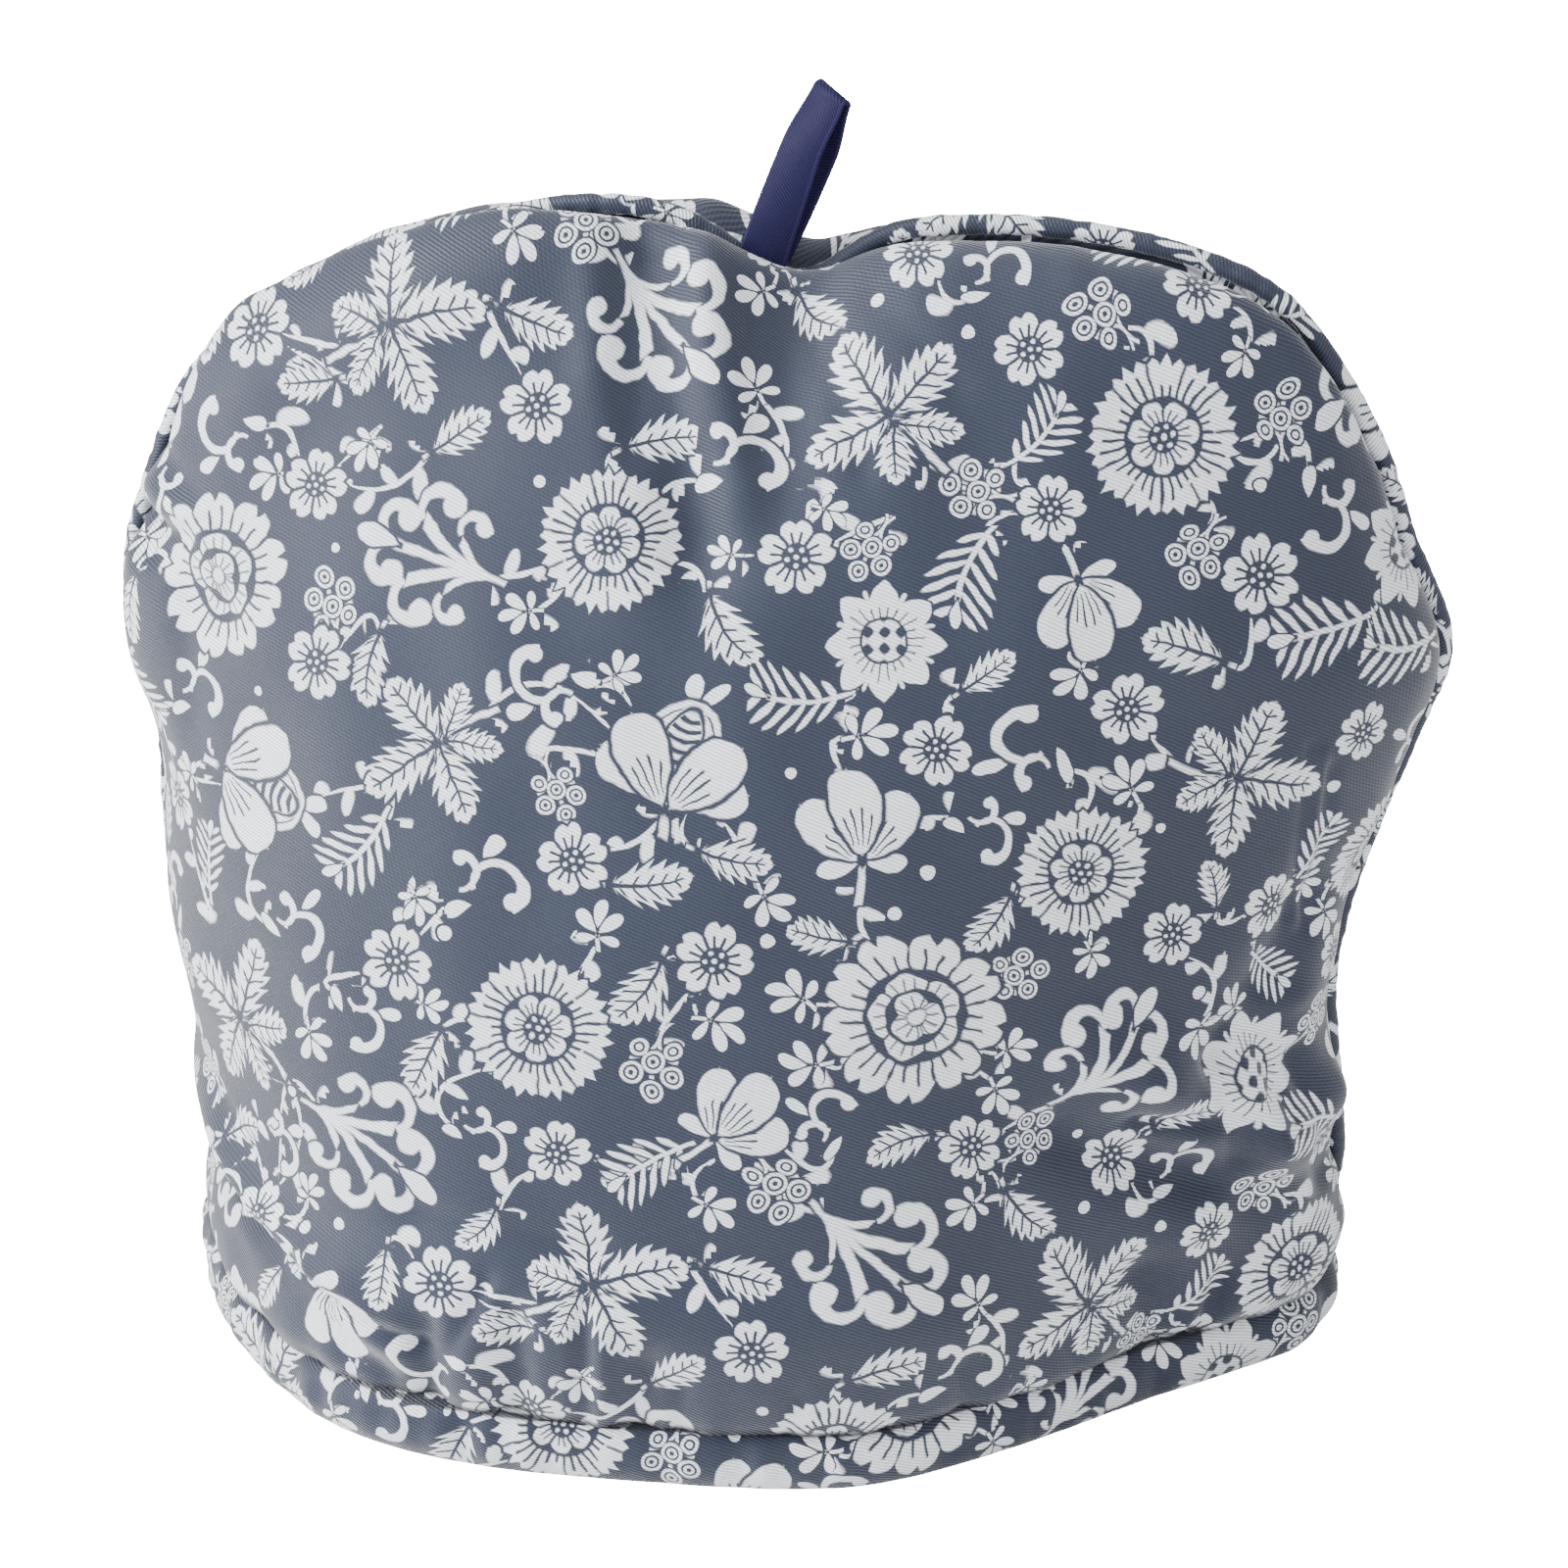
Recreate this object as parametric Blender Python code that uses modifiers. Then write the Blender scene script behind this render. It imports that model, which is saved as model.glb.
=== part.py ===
"""A padded tea cosy, standing open on its hem.

Two dome-shaped padded panels, front and back, meet in one seam that runs from the hem, over
the top and down to the hem again. A cord covered in the same cloth pipes that seam. A band of
the cloth binds the open hem, and a ribbon folded into a loop is caught in the seam at the top.
The cover is free-standing: +X is its right, -Y its front, +Z up, and the floor is z = 0.
"""

import math

import bpy
import numpy as np

# Driving sizes, in metres.
HEM_DEPTH = 0.0150  # height of the seam between the hem binding and the panels
GAP = 0.0003  # clearance between the binding and the panels
SEAM_GAP = 0.0004  # clearance between the two panels' edges
DOME_TOP = 0.2550  # height of the seam line's crown
PAD_OUT = 0.0060  # how far the wadding fills each panel out beyond the seam line
PAD_IN = 0.0020  # and how far it stands in from it
ROLL = 0.0090  # cloth length over which a panel's edge rolls out of the seam
HEM_SQUASH = 0.45  # share of the fill left where the binding is sewn over it
HEM_ROLL = 0.0140  # cloth length over which the fill recovers above the binding
FOLD_FADE = 0.0130  # cloth length from a seam over which folds die away
PIPING_RADIUS = 0.0022
PIPING_STAND = 0.0057  # from the seam line out to the piping's centre
PIPING_END_STAND = 0.0048  # the same where the binding holds its ends down
PIPING_END_REACH = 0.0300  # cord length over which it rises from that

# The seam line seen from the front, clockwise from the left hem corner to the right one.
SEAM_LINE = (
    # x, z
    (-0.1310, HEM_DEPTH),
    (-0.1268, 0.0350),
    (-0.1290, 0.0620),
    (-0.1335, 0.0860),
    (-0.1345, 0.1100),
    (-0.1345, 0.1320),
    (-0.1375, 0.1520),
    (-0.1400, 0.1700),
    (-0.1345, 0.1900),
    (-0.1255, 0.2110),
    (-0.1120, 0.2275),
    (-0.0955, 0.2390),
    (-0.0760, 0.2480),
    (-0.0480, 0.2545),
    (-0.0120, DOME_TOP),
    (0.0300, 0.2530),
    (0.0560, 0.2532),
    (0.0810, 0.2495),
    (0.1015, 0.2415),
    (0.1142, 0.2272),
    (0.1245, 0.2090),
    (0.1312, 0.1900),
    (0.1400, 0.1680),
    (0.1355, 0.1500),
    (0.1280, 0.1280),
    (0.1215, 0.1060),
    (0.1190, 0.0860),
    (0.1215, 0.0600),
    (0.1238, 0.0350),
    (0.1255, HEM_DEPTH),
)
LEFT_SHOULDER, RIGHT_SHOULDER = 10, 19  # rows of SEAM_LINE where side becomes top

# The hem's stitching line seen from above, from the left corner round the front to the right
# corner, and on round the back.
HEM_FRONT = (
    # x, y
    (-0.1310, 0.000),
    (-0.1282, -0.017),
    (-0.1188, -0.0425),
    (-0.1030, -0.0655),
    (-0.0835, -0.0815),
    (-0.0550, -0.0905),
    (-0.0150, -0.0930),
    (0.0165, -0.0920),
    (0.0370, -0.0855),
    (0.0620, -0.0692),
    (0.0880, -0.0487),
    (0.1070, -0.0352),
    (0.1200, -0.0240),
    (0.1250, -0.0110),
    (0.1255, 0.000),
)
HEM_BACK = (
    # x, y
    (0.1215, 0.018),
    (0.1070, 0.048),
    (0.0810, 0.0720),
    (0.0460, 0.0875),
    (0.0050, 0.0925),
    (-0.0430, 0.0885),
    (-0.0810, 0.0765),
    (-0.1100, 0.0540),
    (-0.1275, 0.0260),
)

# How the body closes over: its depth shrinks with height as a superellipse, and its plan
# changes from the hem's own line to a plain oval.
BODY_DEPTH = {"front": 0.0935, "back": 0.0915}
CLOSING_UP, CLOSING_OUT = 1.6, 1.5
OVAL_POWER = 0.92
PLAN_SETTLES = 0.45  # share of the height by which the plan is that oval

# A dip in the seam where the loop pulls on it.
DIP = {"x": 0.0055, "left": 0.018, "right": 0.0145, "depth": 0.0092, "from_z": 0.205}
# Where the seam sways out of its plane: the middle of each stretch in the front view, how far
# it reaches each way, and how far back it goes there.
SWAYS = (
    # x, z, reach_x, reach_z, back
    (0.130, 0.080, 0.050, 0.042, -0.0090),
    (-0.115, 0.232, 0.060, 0.060, 0.0100),
    (-0.140, 0.100, 0.045, 0.080, 0.0050),
    (0.135, 0.190, 0.045, 0.040, -0.0020),
)
SWAY_RISE = 0.030  # height over which the sway builds up above the binding

# Folds: a soft line from one end to the other in the front view, how wide it is across and
# how far it stands out (+) or sinks in (-). It fades past its ends over FOLD_ENDS widths.
FOLD_ENDS = 1.5
FOLDS = {
    "front": (
        # x0, z0, x1, z1, width, height
        (-0.026, 0.262, -0.012, 0.205, 0.0085, -0.0050),
        (-0.012, 0.250, -0.004, 0.214, 0.0070, 0.0022),
        (0.006, 0.250, 0.004, 0.208, 0.0080, -0.0024),
        (-0.150, 0.188, -0.118, 0.176, 0.0060, -0.0050),
        (-0.138, 0.160, -0.122, 0.196, 0.0120, 0.0020),
        (0.074, 0.096, 0.106, 0.066, 0.0080, 0.0042),
        (0.066, 0.078, 0.104, 0.054, 0.0070, -0.0050),
        (0.096, 0.086, 0.116, 0.118, 0.0070, -0.0034),
        (0.100, 0.052, 0.124, 0.066, 0.0080, 0.0034),
        (-0.128, 0.046, -0.078, 0.022, 0.0050, -0.0040),
        (-0.122, 0.054, -0.080, 0.034, 0.0060, 0.0024),
        (-0.070, 0.040, 0.040, 0.040, 0.0120, 0.0026),
        (-0.067, 0.013, -0.065, 0.034, 0.0035, -0.0030),
        (-0.049, 0.013, -0.046, 0.038, 0.0040, -0.0034),
        (-0.022, 0.013, -0.018, 0.030, 0.0045, -0.0024),
        (0.090, 0.013, 0.084, 0.036, 0.0050, -0.0040),
    ),
    "back": (
        # x0, z0, x1, z1, width, height
        (0.010, 0.262, 0.016, 0.214, 0.0090, -0.0040),
        (-0.090, 0.110, -0.040, 0.086, 0.0120, -0.0030),
        (0.060, 0.070, 0.104, 0.104, 0.0100, -0.0034),
        (-0.050, 0.036, 0.060, 0.038, 0.0120, 0.0024),
        (-0.040, 0.013, -0.043, 0.036, 0.0045, -0.0030),
        (0.034, 0.013, 0.038, 0.034, 0.0045, -0.0030),
    ),
}

# The hem binding's section: steps out from the stitching line, and heights.
BINDING_SECTION = (
    # out, z
    (0.0015, HEM_DEPTH - GAP),
    (0.0040, 0.0100),
    (0.0048, 0.0060),
    (0.0036, 0.0018),
    (0.0012, 0.0000),
    (-0.0038, 0.0000),
    (-0.0058, 0.0024),
    (-0.0062, 0.0070),
    (-0.0052, 0.0108),
    (-0.0020, HEM_DEPTH - GAP),
)

# The ribbon loop.
RIBBON_WIDTH = 0.0095
RIBBON_THICK = 0.0010
RIBBON_FOOT = (-0.0025, 0.2535)  # x and z of the middle of its lower end
RIBBON_TOP = (0.0120, 0.2870)  # and of its fold
RIBBON_LEGS = 0.0070  # between the two legs' middles, front to back
RIBBON_TURN = (4.0, 48.0)  # degrees it is turned to the left at its foot and at its fold
RIBBON_TURNS_FROM = 0.45  # share of its height at which that turn starts

# How finely the solids are divided.
EDGE_STEPS = (0.0, 0.0022, 0.0052)  # first cloth lengths in from a seam
FIRST_STRIDE = 0.6  # the next step, as a share of the even ones after it
PANEL_HALF_WIDTH, PANEL_HEIGHT = 0.170, 0.300  # rough cloth lengths
PANEL_ACROSS, PANEL_UP = 30, 23
HEM_STEPS = 72
PIPING_STEPS = 84
RIBBON_STEPS = 9

# Colour, roughness and metallic value of each material.
FINISHES = {
    "printed_cotton": ((0.150, 0.190, 0.285), 0.62, 0.0),
    "printed_cotton_back": ((0.150, 0.190, 0.285), 0.62, 0.0),
    "piping_cotton": ((0.105, 0.135, 0.205), 0.66, 0.0),
    "binding_cotton": ((0.125, 0.160, 0.240), 0.64, 0.0),
    "navy_ribbon": ((0.030, 0.030, 0.095), 0.45, 0.0),
}


def clear_scene():
    for thing in list(bpy.data.objects):
        bpy.data.objects.remove(thing, do_unlink=True)


def collection(name):
    made = bpy.data.collections.new(name)
    bpy.context.scene.collection.children.link(made)
    return made


def material(name):
    colour, roughness, metallic = FINISHES[name]
    made = bpy.data.materials.new(name)
    made.use_nodes = True
    shader = made.node_tree.nodes["Principled BSDF"]
    shader.inputs["Base Color"].default_value = (*colour, 1.0)
    shader.inputs["Roughness"].default_value = roughness
    shader.inputs["Metallic"].default_value = metallic
    made.diffuse_color = (*colour, 1.0)
    return made


def smooth_step(value):
    value = np.clip(value, 0.0, 1.0)
    return value * value * (3.0 - 2.0 * value)


def unit(vectors):
    length = np.linalg.norm(vectors, axis=-1, keepdims=True)
    return vectors / np.maximum(length, 1e-12)


def curve_through(rows, closed=False, steps=24):
    """A Catmull-Rom curve through the rows, as a fine polyline."""
    p = np.array(rows, float)
    if closed:
        p = np.concatenate([p[-1:], p, p[:2]])
    else:
        p = np.concatenate([2 * p[:1] - p[1:2], p, 2 * p[-1:] - p[-2:-1]])
    t = np.linspace(0.0, 1.0, steps, endpoint=False)[:, None]
    a, b, c, d = p[:-3, None], p[1:-2, None], p[2:-1, None], p[3:, None]
    made = 0.5 * (
        2 * b
        + (c - a) * t
        + (2 * a - 5 * b + 4 * c - d) * t**2
        + (3 * b - a - 3 * c + d) * t**3
    )
    made = made.reshape(-1, p.shape[1])
    return made if closed else np.concatenate([made, p[-2:-1]])


def lengths_along(points):
    steps = np.linalg.norm(np.diff(points, axis=0), axis=1)
    return np.concatenate([[0.0], np.cumsum(steps)])


def at_shares(points, shares):
    """Points at these shares of the polyline's length."""
    along = lengths_along(points)
    wanted = np.asarray(shares) * along[-1]
    return np.stack([np.interp(wanted, along, points[:, k]) for k in range(points.shape[1])], -1)


def seam_parts():
    """The seam line's left side, top and right side. The right side is given upwards too."""
    steps = 24
    line = curve_through(SEAM_LINE, steps=steps)
    left, right = LEFT_SHOULDER * steps, RIGHT_SHOULDER * steps
    return line[: left + 1], line[left : right + 1], line[right:][::-1]


def hem_loop():
    """The closed stitching line of the hem, from above, and the index of its right corner."""
    steps = 24
    loop = curve_through(HEM_FRONT + HEM_BACK, closed=True, steps=steps)
    return loop, (len(HEM_FRONT) - 1) * steps


def hem_line(side):
    """The front or back half of the hem's stitching line, from left to right."""
    loop, corner = hem_loop()
    if side == "front":
        return loop[: corner + 1]
    return np.concatenate([loop[corner:], loop[:1]])[::-1]


def edge_shares(length, count):
    """Shares from 0 to 1 that crowd towards 0 by EDGE_STEPS and are even after that."""
    first = np.array(EDGE_STEPS) / length
    rest = np.linspace(first[-1] + FIRST_STRIDE / count, 1.0, count)
    return np.concatenate([first, rest])


def panel_shares():
    """Shares of the way across a panel and of the way up it where its points lie."""
    half = edge_shares(PANEL_HALF_WIDTH, PANEL_ACROSS // 2)
    across = np.concatenate([half / 2, (1.0 - half[:-1] / 2)[::-1]])
    up = 1.0 - edge_shares(PANEL_HEIGHT, PANEL_UP)[::-1]
    return across, up


def base_surface(side, across, up):
    """The panel's middle surface, in which the seam and hem stitching lie, as an array of
    points [across][up]: in the front view it is a Coons patch between the hem line, the two
    sides and the top of the seam line; its depth is the hem's, closing to nothing upwards."""
    left, top, right = seam_parts()
    hem = at_shares(hem_line(side), across)
    angle = (across - 0.5) * math.pi
    s = (0.5 + 0.5 * np.sin(angle))[:, None, None]
    rise = np.sin(up * math.pi / 2)
    v = rise[None, :, None]
    foot = np.stack([hem[:, 0], np.full(len(hem), HEM_DEPTH)], -1)[:, None]
    crown = at_shares(top, s[:, 0, 0])[:, None]
    west = at_shares(left, rise)[None]
    east = at_shares(right, rise)[None]
    corners = (
        (1 - s) * (1 - v) * left[0]
        + (1 - s) * v * left[-1]
        + s * (1 - v) * right[0]
        + s * v * right[-1]
    )
    front_view = (1 - v) * foot + v * crown + (1 - s) * west + s * east - corners
    closing = np.maximum(1.0 - rise**CLOSING_UP, 0.0) ** (1.0 / CLOSING_OUT)
    sign = -1.0 if side == "front" else 1.0
    oval = sign * BODY_DEPTH[side] * np.maximum(np.cos(angle), 0.0) ** OVAL_POWER
    settled = smooth_step(rise / PLAN_SETTLES)[None]
    depth = ((1 - settled) * hem[:, 1:2] + settled * oval[:, None]) * closing[None]
    return np.stack([front_view[..., 0], depth, front_view[..., 1]], -1)


def outward(side, base):
    """Unit normals of the middle surface. Along the seam they lie in the seam's plane, and
    along the hem they are level, so that neighbouring pieces meet face to face."""
    along = np.gradient(base, axis=0)
    upward = np.gradient(base, axis=1)
    normal = unit(np.cross(along, upward))
    sign = -1.0 if side == "front" else 1.0
    normal *= -sign
    normal[..., 1] = sign * np.maximum(sign * normal[..., 1], 0.0)
    normal[0, :, 1] = 0.0
    normal[-1, :, 1] = 0.0
    normal[:, -1, 1] = 0.0
    normal[:, 0, 2] = 0.0
    for shoulder, beside in ((0, 1), (-1, -2)):
        normal[shoulder, -1] = unit(normal[shoulder, -2]) + unit(normal[beside, -1])
    return unit(normal)


def cloth_in_from_edges(base):
    """Cloth length from each point to the side seam, to the top seam and to the hem."""
    across = np.linalg.norm(np.diff(base, axis=0), axis=-1)
    across = np.concatenate([np.zeros((1, base.shape[1])), np.cumsum(across, axis=0)])
    upward = np.linalg.norm(np.diff(base, axis=1), axis=-1)
    upward = np.concatenate([np.zeros((base.shape[0], 1)), np.cumsum(upward, axis=1)], axis=1)
    side = np.minimum(across, across[-1] - across)
    return side, upward[:, -1:] - upward, upward


def rolled(length, over):
    """A quarter round: 0 at the seam, 1 once the cloth is this far over."""
    share = np.clip(length / over, 0.0, 1.0)
    return np.sqrt(1.0 - (1.0 - share) ** 2)


def fold_height(side, base):
    """The sum of the folds at each point: a bell across each line, fading past its ends."""
    x, z = base[..., 0], base[..., 2]
    total = np.zeros(x.shape)
    for x0, z0, x1, z1, width, height in FOLDS[side]:
        length = math.hypot(x1 - x0, z1 - z0)
        ex, ez = (x1 - x0) / length, (z1 - z0) / length
        along = (x - x0) * ex + (z - z0) * ez
        off = (x - x0) * ez - (z - z0) * ex
        past = np.maximum(np.maximum(-along, along - length), 0.0)
        total += height * np.exp(-((off / width) ** 2) - (past / (FOLD_ENDS * width)) ** 2)
    return total


def settle(points):
    """Moves points as the whole cover has settled: the dip under the loop, and the sways of
    the seam."""
    x, y, z = points[..., 0], points[..., 1], points[..., 2]
    spread = np.where(x < DIP["x"], DIP["left"], DIP["right"])
    near_top = smooth_step((z - DIP["from_z"]) / (DOME_TOP - DIP["from_z"]))
    sink = DIP["depth"] * np.exp(-(((x - DIP["x"]) / spread) ** 2)) * near_top
    sway = np.zeros(x.shape)
    for at_x, at_z, reach_x, reach_z, back in SWAYS:
        sway += back * np.exp(-(((x - at_x) / reach_x) ** 2) - ((z - at_z) / reach_z) ** 2)
    sway = sway * smooth_step((z - HEM_DEPTH) / SWAY_RISE)
    return np.stack([x, y + sway, z - sink], -1)


def loft(name, rings, closed=False):
    """A solid through closed rings of an even number of points. An open run of rings is
    capped at both ends by rungs between the two halves of its end rings."""
    runs, count = rings.shape[:2]
    index = np.arange(runs * count).reshape(runs, count)
    nxt = np.roll(index, -1, axis=1)
    if closed:
        after, after_nxt = np.roll(index, -1, axis=0), np.roll(nxt, -1, axis=0)
    else:
        after, after_nxt = index[1:], nxt[1:]
        index, nxt = index[:-1], nxt[:-1]
    walls = np.stack([index, after, after_nxt, nxt], -1).reshape(-1, 4).tolist()
    if not closed:
        last = (runs - 1) * count
        for k in range(count // 2 - 1):
            rung = (k, k + 1, count - 2 - k, count - 1 - k)
            walls.append(rung)
            walls.append(tuple(last + n for n in reversed(rung)))
    mesh = bpy.data.meshes.new(name)
    mesh.from_pydata(rings.reshape(-1, 3).tolist(), [], walls)
    mesh.update()
    return mesh


def add(mesh, name, finish, cosy, smooth_angle=40):
    made = bpy.data.objects.new(name, mesh)
    made.data.materials.append(material(finish))
    if made.type == "MESH":
        made.data.shade_smooth()
        made.data.set_sharp_from_angle(angle=math.radians(smooth_angle))
    cosy.objects.link(made)
    return made


def padded_panel(side, finish, cosy):
    """A panel of wadded cloth: the outer face rolls out of the seam and carries the folds,
    the inner face lies evenly inside it."""
    across, up = panel_shares()
    base = base_surface(side, across, up)
    normal = outward(side, base)
    from_side, from_top, from_hem = cloth_in_from_edges(base)
    edge = rolled(from_side, ROLL) * rolled(from_top, ROLL)
    fill = HEM_SQUASH + (1.0 - HEM_SQUASH) * rolled(from_hem, HEM_ROLL)
    folds = fold_height(side, base) * smooth_step(np.minimum(from_side, from_top) / FOLD_FADE)
    outer = base + normal * (PAD_OUT * edge * fill + folds)[..., None]
    inner = base - normal * (PAD_IN - 0.5 * folds)[..., None]
    sign = -1.0 if side == "front" else 1.0
    for face in (outer, inner):
        face[1:-1, :-1, 1] = sign * np.maximum(sign * face[1:-1, :-1, 1], 2 * SEAM_GAP)
    rings = np.concatenate([outer, inner[:, ::-1]], axis=1)
    rings[..., 1] += sign * SEAM_GAP / 2
    rings = settle(rings)
    rings[:, [0, -1], 2] = HEM_DEPTH
    if side == "back":
        rings = rings[:, ::-1]
    return add(loft(side + "_panel", rings), side + "_panel", finish, cosy)


def edge_piping(cosy):
    """The covered cord along the seam line, from the hem binding over the top to the hem."""
    line = curve_through(SEAM_LINE)
    tangent = unit(np.gradient(line, axis=0))
    along = lengths_along(line)
    risen = smooth_step(np.minimum(along, along[-1] - along) / PIPING_END_REACH)[:, None]
    stand = PIPING_END_STAND + (PIPING_STAND - PIPING_END_STAND) * risen
    centre = line + stand * np.stack([-tangent[:, 1], tangent[:, 0]], -1)
    centre = at_shares(centre, np.linspace(0.0, 1.0, PIPING_STEPS))
    points = np.stack([centre[:, 0], np.zeros(PIPING_STEPS), centre[:, 1]], -1)
    points = settle(points)
    curve = bpy.data.curves.new("edge_piping", "CURVE")
    curve.dimensions = "3D"
    curve.bevel_depth = PIPING_RADIUS
    curve.bevel_resolution = 2
    curve.use_fill_caps = True
    spline = curve.splines.new("POLY")
    spline.points.add(PIPING_STEPS - 1)
    for point, place in zip(spline.points, points):
        point.co = (*place, 1.0)
    return add(curve, "edge_piping", "piping_cotton", cosy)


def hem_binding(cosy):
    """The band over the open edge: one section carried round the hem's stitching line."""
    loop, _ = hem_loop()
    loop = np.concatenate([loop, loop[:1]])
    line = at_shares(loop, np.linspace(0.0, 1.0, HEM_STEPS, endpoint=False))
    tangent = unit(np.roll(line, -1, axis=0) - np.roll(line, 1, axis=0))
    out = np.stack([tangent[:, 1], -tangent[:, 0]], -1)
    section = np.array(BINDING_SECTION)
    plan = line[:, None] + out[:, None] * section[None, :, :1]
    height = np.broadcast_to(section[None, :, 1:], (HEM_STEPS, len(section), 1))
    rings = np.concatenate([plan, height], axis=-1)[:, ::-1]
    return add(loft("hem_binding", rings, closed=True), "hem_binding", "binding_cotton", cosy)


def ribbon_route():
    """The ribbon's middle line before it is turned: up the front leg, over the fold and down
    the back leg, as distances back from the loop's middle and up from its foot."""
    height = math.dist(RIBBON_FOOT, RIBBON_TOP)
    radius = RIBBON_LEGS / 2
    leg = np.linspace(0.0, height - radius, RIBBON_STEPS)
    turn = np.radians(np.linspace(180.0, 0.0, RIBBON_STEPS))[1:-1]
    back = np.concatenate([leg * 0 - radius, radius * np.cos(turn), leg * 0 + radius])
    rise = np.concatenate([leg, leg[-1] + radius * np.sin(turn), leg[::-1]])
    return back, rise, rise / height


def ribbon_loop(cosy):
    """The ribbon folded in half, leaning to the right and turning as it rises, with its two
    ends astride the piping."""
    back, rise, share = ribbon_route()
    lean = np.array([RIBBON_TOP[0] - RIBBON_FOOT[0], 0.0, RIBBON_TOP[1] - RIBBON_FOOT[1]])
    lean /= np.linalg.norm(lean)
    level = np.array([lean[2], 0.0, -lean[0]])
    first, last = np.radians(RIBBON_TURN)
    growth = smooth_step((share - RIBBON_TURNS_FROM) / (1.0 - RIBBON_TURNS_FROM))
    turn = (first + (last - first) * growth)[:, None]
    depth = np.array([0.0, 1.0, 0.0])
    wide = level * np.cos(turn) - depth * np.sin(turn)
    through = level * np.sin(turn) + depth * np.cos(turn)
    foot = np.array([RIBBON_FOOT[0], 0.0, RIBBON_FOOT[1]])
    middle = foot + rise[:, None] * lean + back[:, None] * through
    half = RIBBON_WIDTH / 2
    strip = np.stack([middle - half * wide, middle + half * wide], axis=1)
    count = len(strip)
    index = np.arange(2 * count).reshape(count, 2)
    faces = np.stack([index[:-1, 0], index[:-1, 1], index[1:, 1], index[1:, 0]], -1)
    mesh = bpy.data.meshes.new("ribbon_loop")
    mesh.from_pydata(strip.reshape(-1, 3).tolist(), [], faces.tolist())
    made = add(mesh, "ribbon_loop", "navy_ribbon", cosy)
    cloth = made.modifiers.new("thickness", "SOLIDIFY")
    cloth.thickness = RIBBON_THICK
    cloth.offset = 0.0
    cloth.use_even_offset = True
    return made


def main():
    clear_scene()
    cosy = collection("tea_cosy")
    padded_panel("front", "printed_cotton", cosy)
    padded_panel("back", "printed_cotton_back", cosy)
    edge_piping(cosy)
    hem_binding(cosy)
    ribbon_loop(cosy)


main()
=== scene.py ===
"""Looks of a padded tea cosy: printed cotton panels, piping, bound hem and ribbon loop.

Every piece is a surface worked out on a grid of two parameters. +X is the cosy's right, -Y its
front, +Z up, in metres, and the floor is z = 0. The print is drawn by the material: each small
face of the cloth stores where it lies in one printed motif and beside one printed stem.
"""

import math

import bpy
import numpy as np
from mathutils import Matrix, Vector


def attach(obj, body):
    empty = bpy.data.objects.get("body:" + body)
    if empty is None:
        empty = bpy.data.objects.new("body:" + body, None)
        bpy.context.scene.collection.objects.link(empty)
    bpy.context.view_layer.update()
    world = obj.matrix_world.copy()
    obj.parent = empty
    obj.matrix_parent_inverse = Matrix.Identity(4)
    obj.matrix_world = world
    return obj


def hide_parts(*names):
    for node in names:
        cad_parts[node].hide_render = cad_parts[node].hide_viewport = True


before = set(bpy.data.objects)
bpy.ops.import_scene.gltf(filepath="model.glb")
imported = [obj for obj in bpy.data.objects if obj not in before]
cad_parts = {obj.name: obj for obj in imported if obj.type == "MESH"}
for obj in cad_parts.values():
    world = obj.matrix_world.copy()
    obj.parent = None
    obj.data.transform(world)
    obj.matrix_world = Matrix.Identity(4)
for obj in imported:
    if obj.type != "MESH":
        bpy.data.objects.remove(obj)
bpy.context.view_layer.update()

# ---------------------------------------------------------------- sizes of the cosy

HEM_DEPTH = 0.0150  # height of the seam between the hem binding and the panels
DOME_TOP = 0.2550  # height of the seam line's crown
PAD_OUT = 0.0060  # how far the wadding fills each panel out beyond the seam line
PAD_IN = 0.0020  # and how far it stands in from it
ROLL = 0.0090  # cloth length over which a panel's edge rolls out of the seam
HEM_SQUASH = 0.25  # share of the fill left in the seam where the binding is sewn over it
HEM_ROLL = 0.0160  # cloth length over which the fill recovers above the binding
FOLD_FADE = 0.0130  # cloth length from a seam over which folds die away
PIPING_RADIUS = 0.0022
PIPING_STAND = 0.0057  # from the seam line out to the piping's centre
PIPING_END_STAND = 0.0014  # the same where the binding holds its ends down
PIPING_END_REACH = 0.0300  # cord length over which it rises from that
PIPING_END_SHARE, PIPING_THINS = 0.6, 0.0200  # of its radius at its ends, and over what length
PIPING_UNEVEN, PIPING_PUCKER = 0.035, 0.0042  # share its radius varies by, and over what length
PIPING_SINKS_OVER = 0.025  # height above DIP's from_z over which the sinks set in
PIPING_SINKS = (
    # x, reach, how much deeper it sits between the panels there
    (-0.088, 0.036, 0.0052),
    (0.000, 0.019, 0.0060),
)
SEAM_ON_PANEL = 0.0003  # from the panel's lower edge to where the binding's fold meets it
SEAM_ON_BINDING = 0.0027  # and from the start of the binding's section
SEAM_TUCK = 0.0002  # how far each panel's edge stays from the seam's plane
PANEL_FOOT = 0.0012  # how far the panels' cloth reaches down behind the binding
SIDE_SIGN = {"front": -1.0, "back": 1.0}  # of y
STEPS = 24  # points a curve has between two rows of its table

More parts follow.
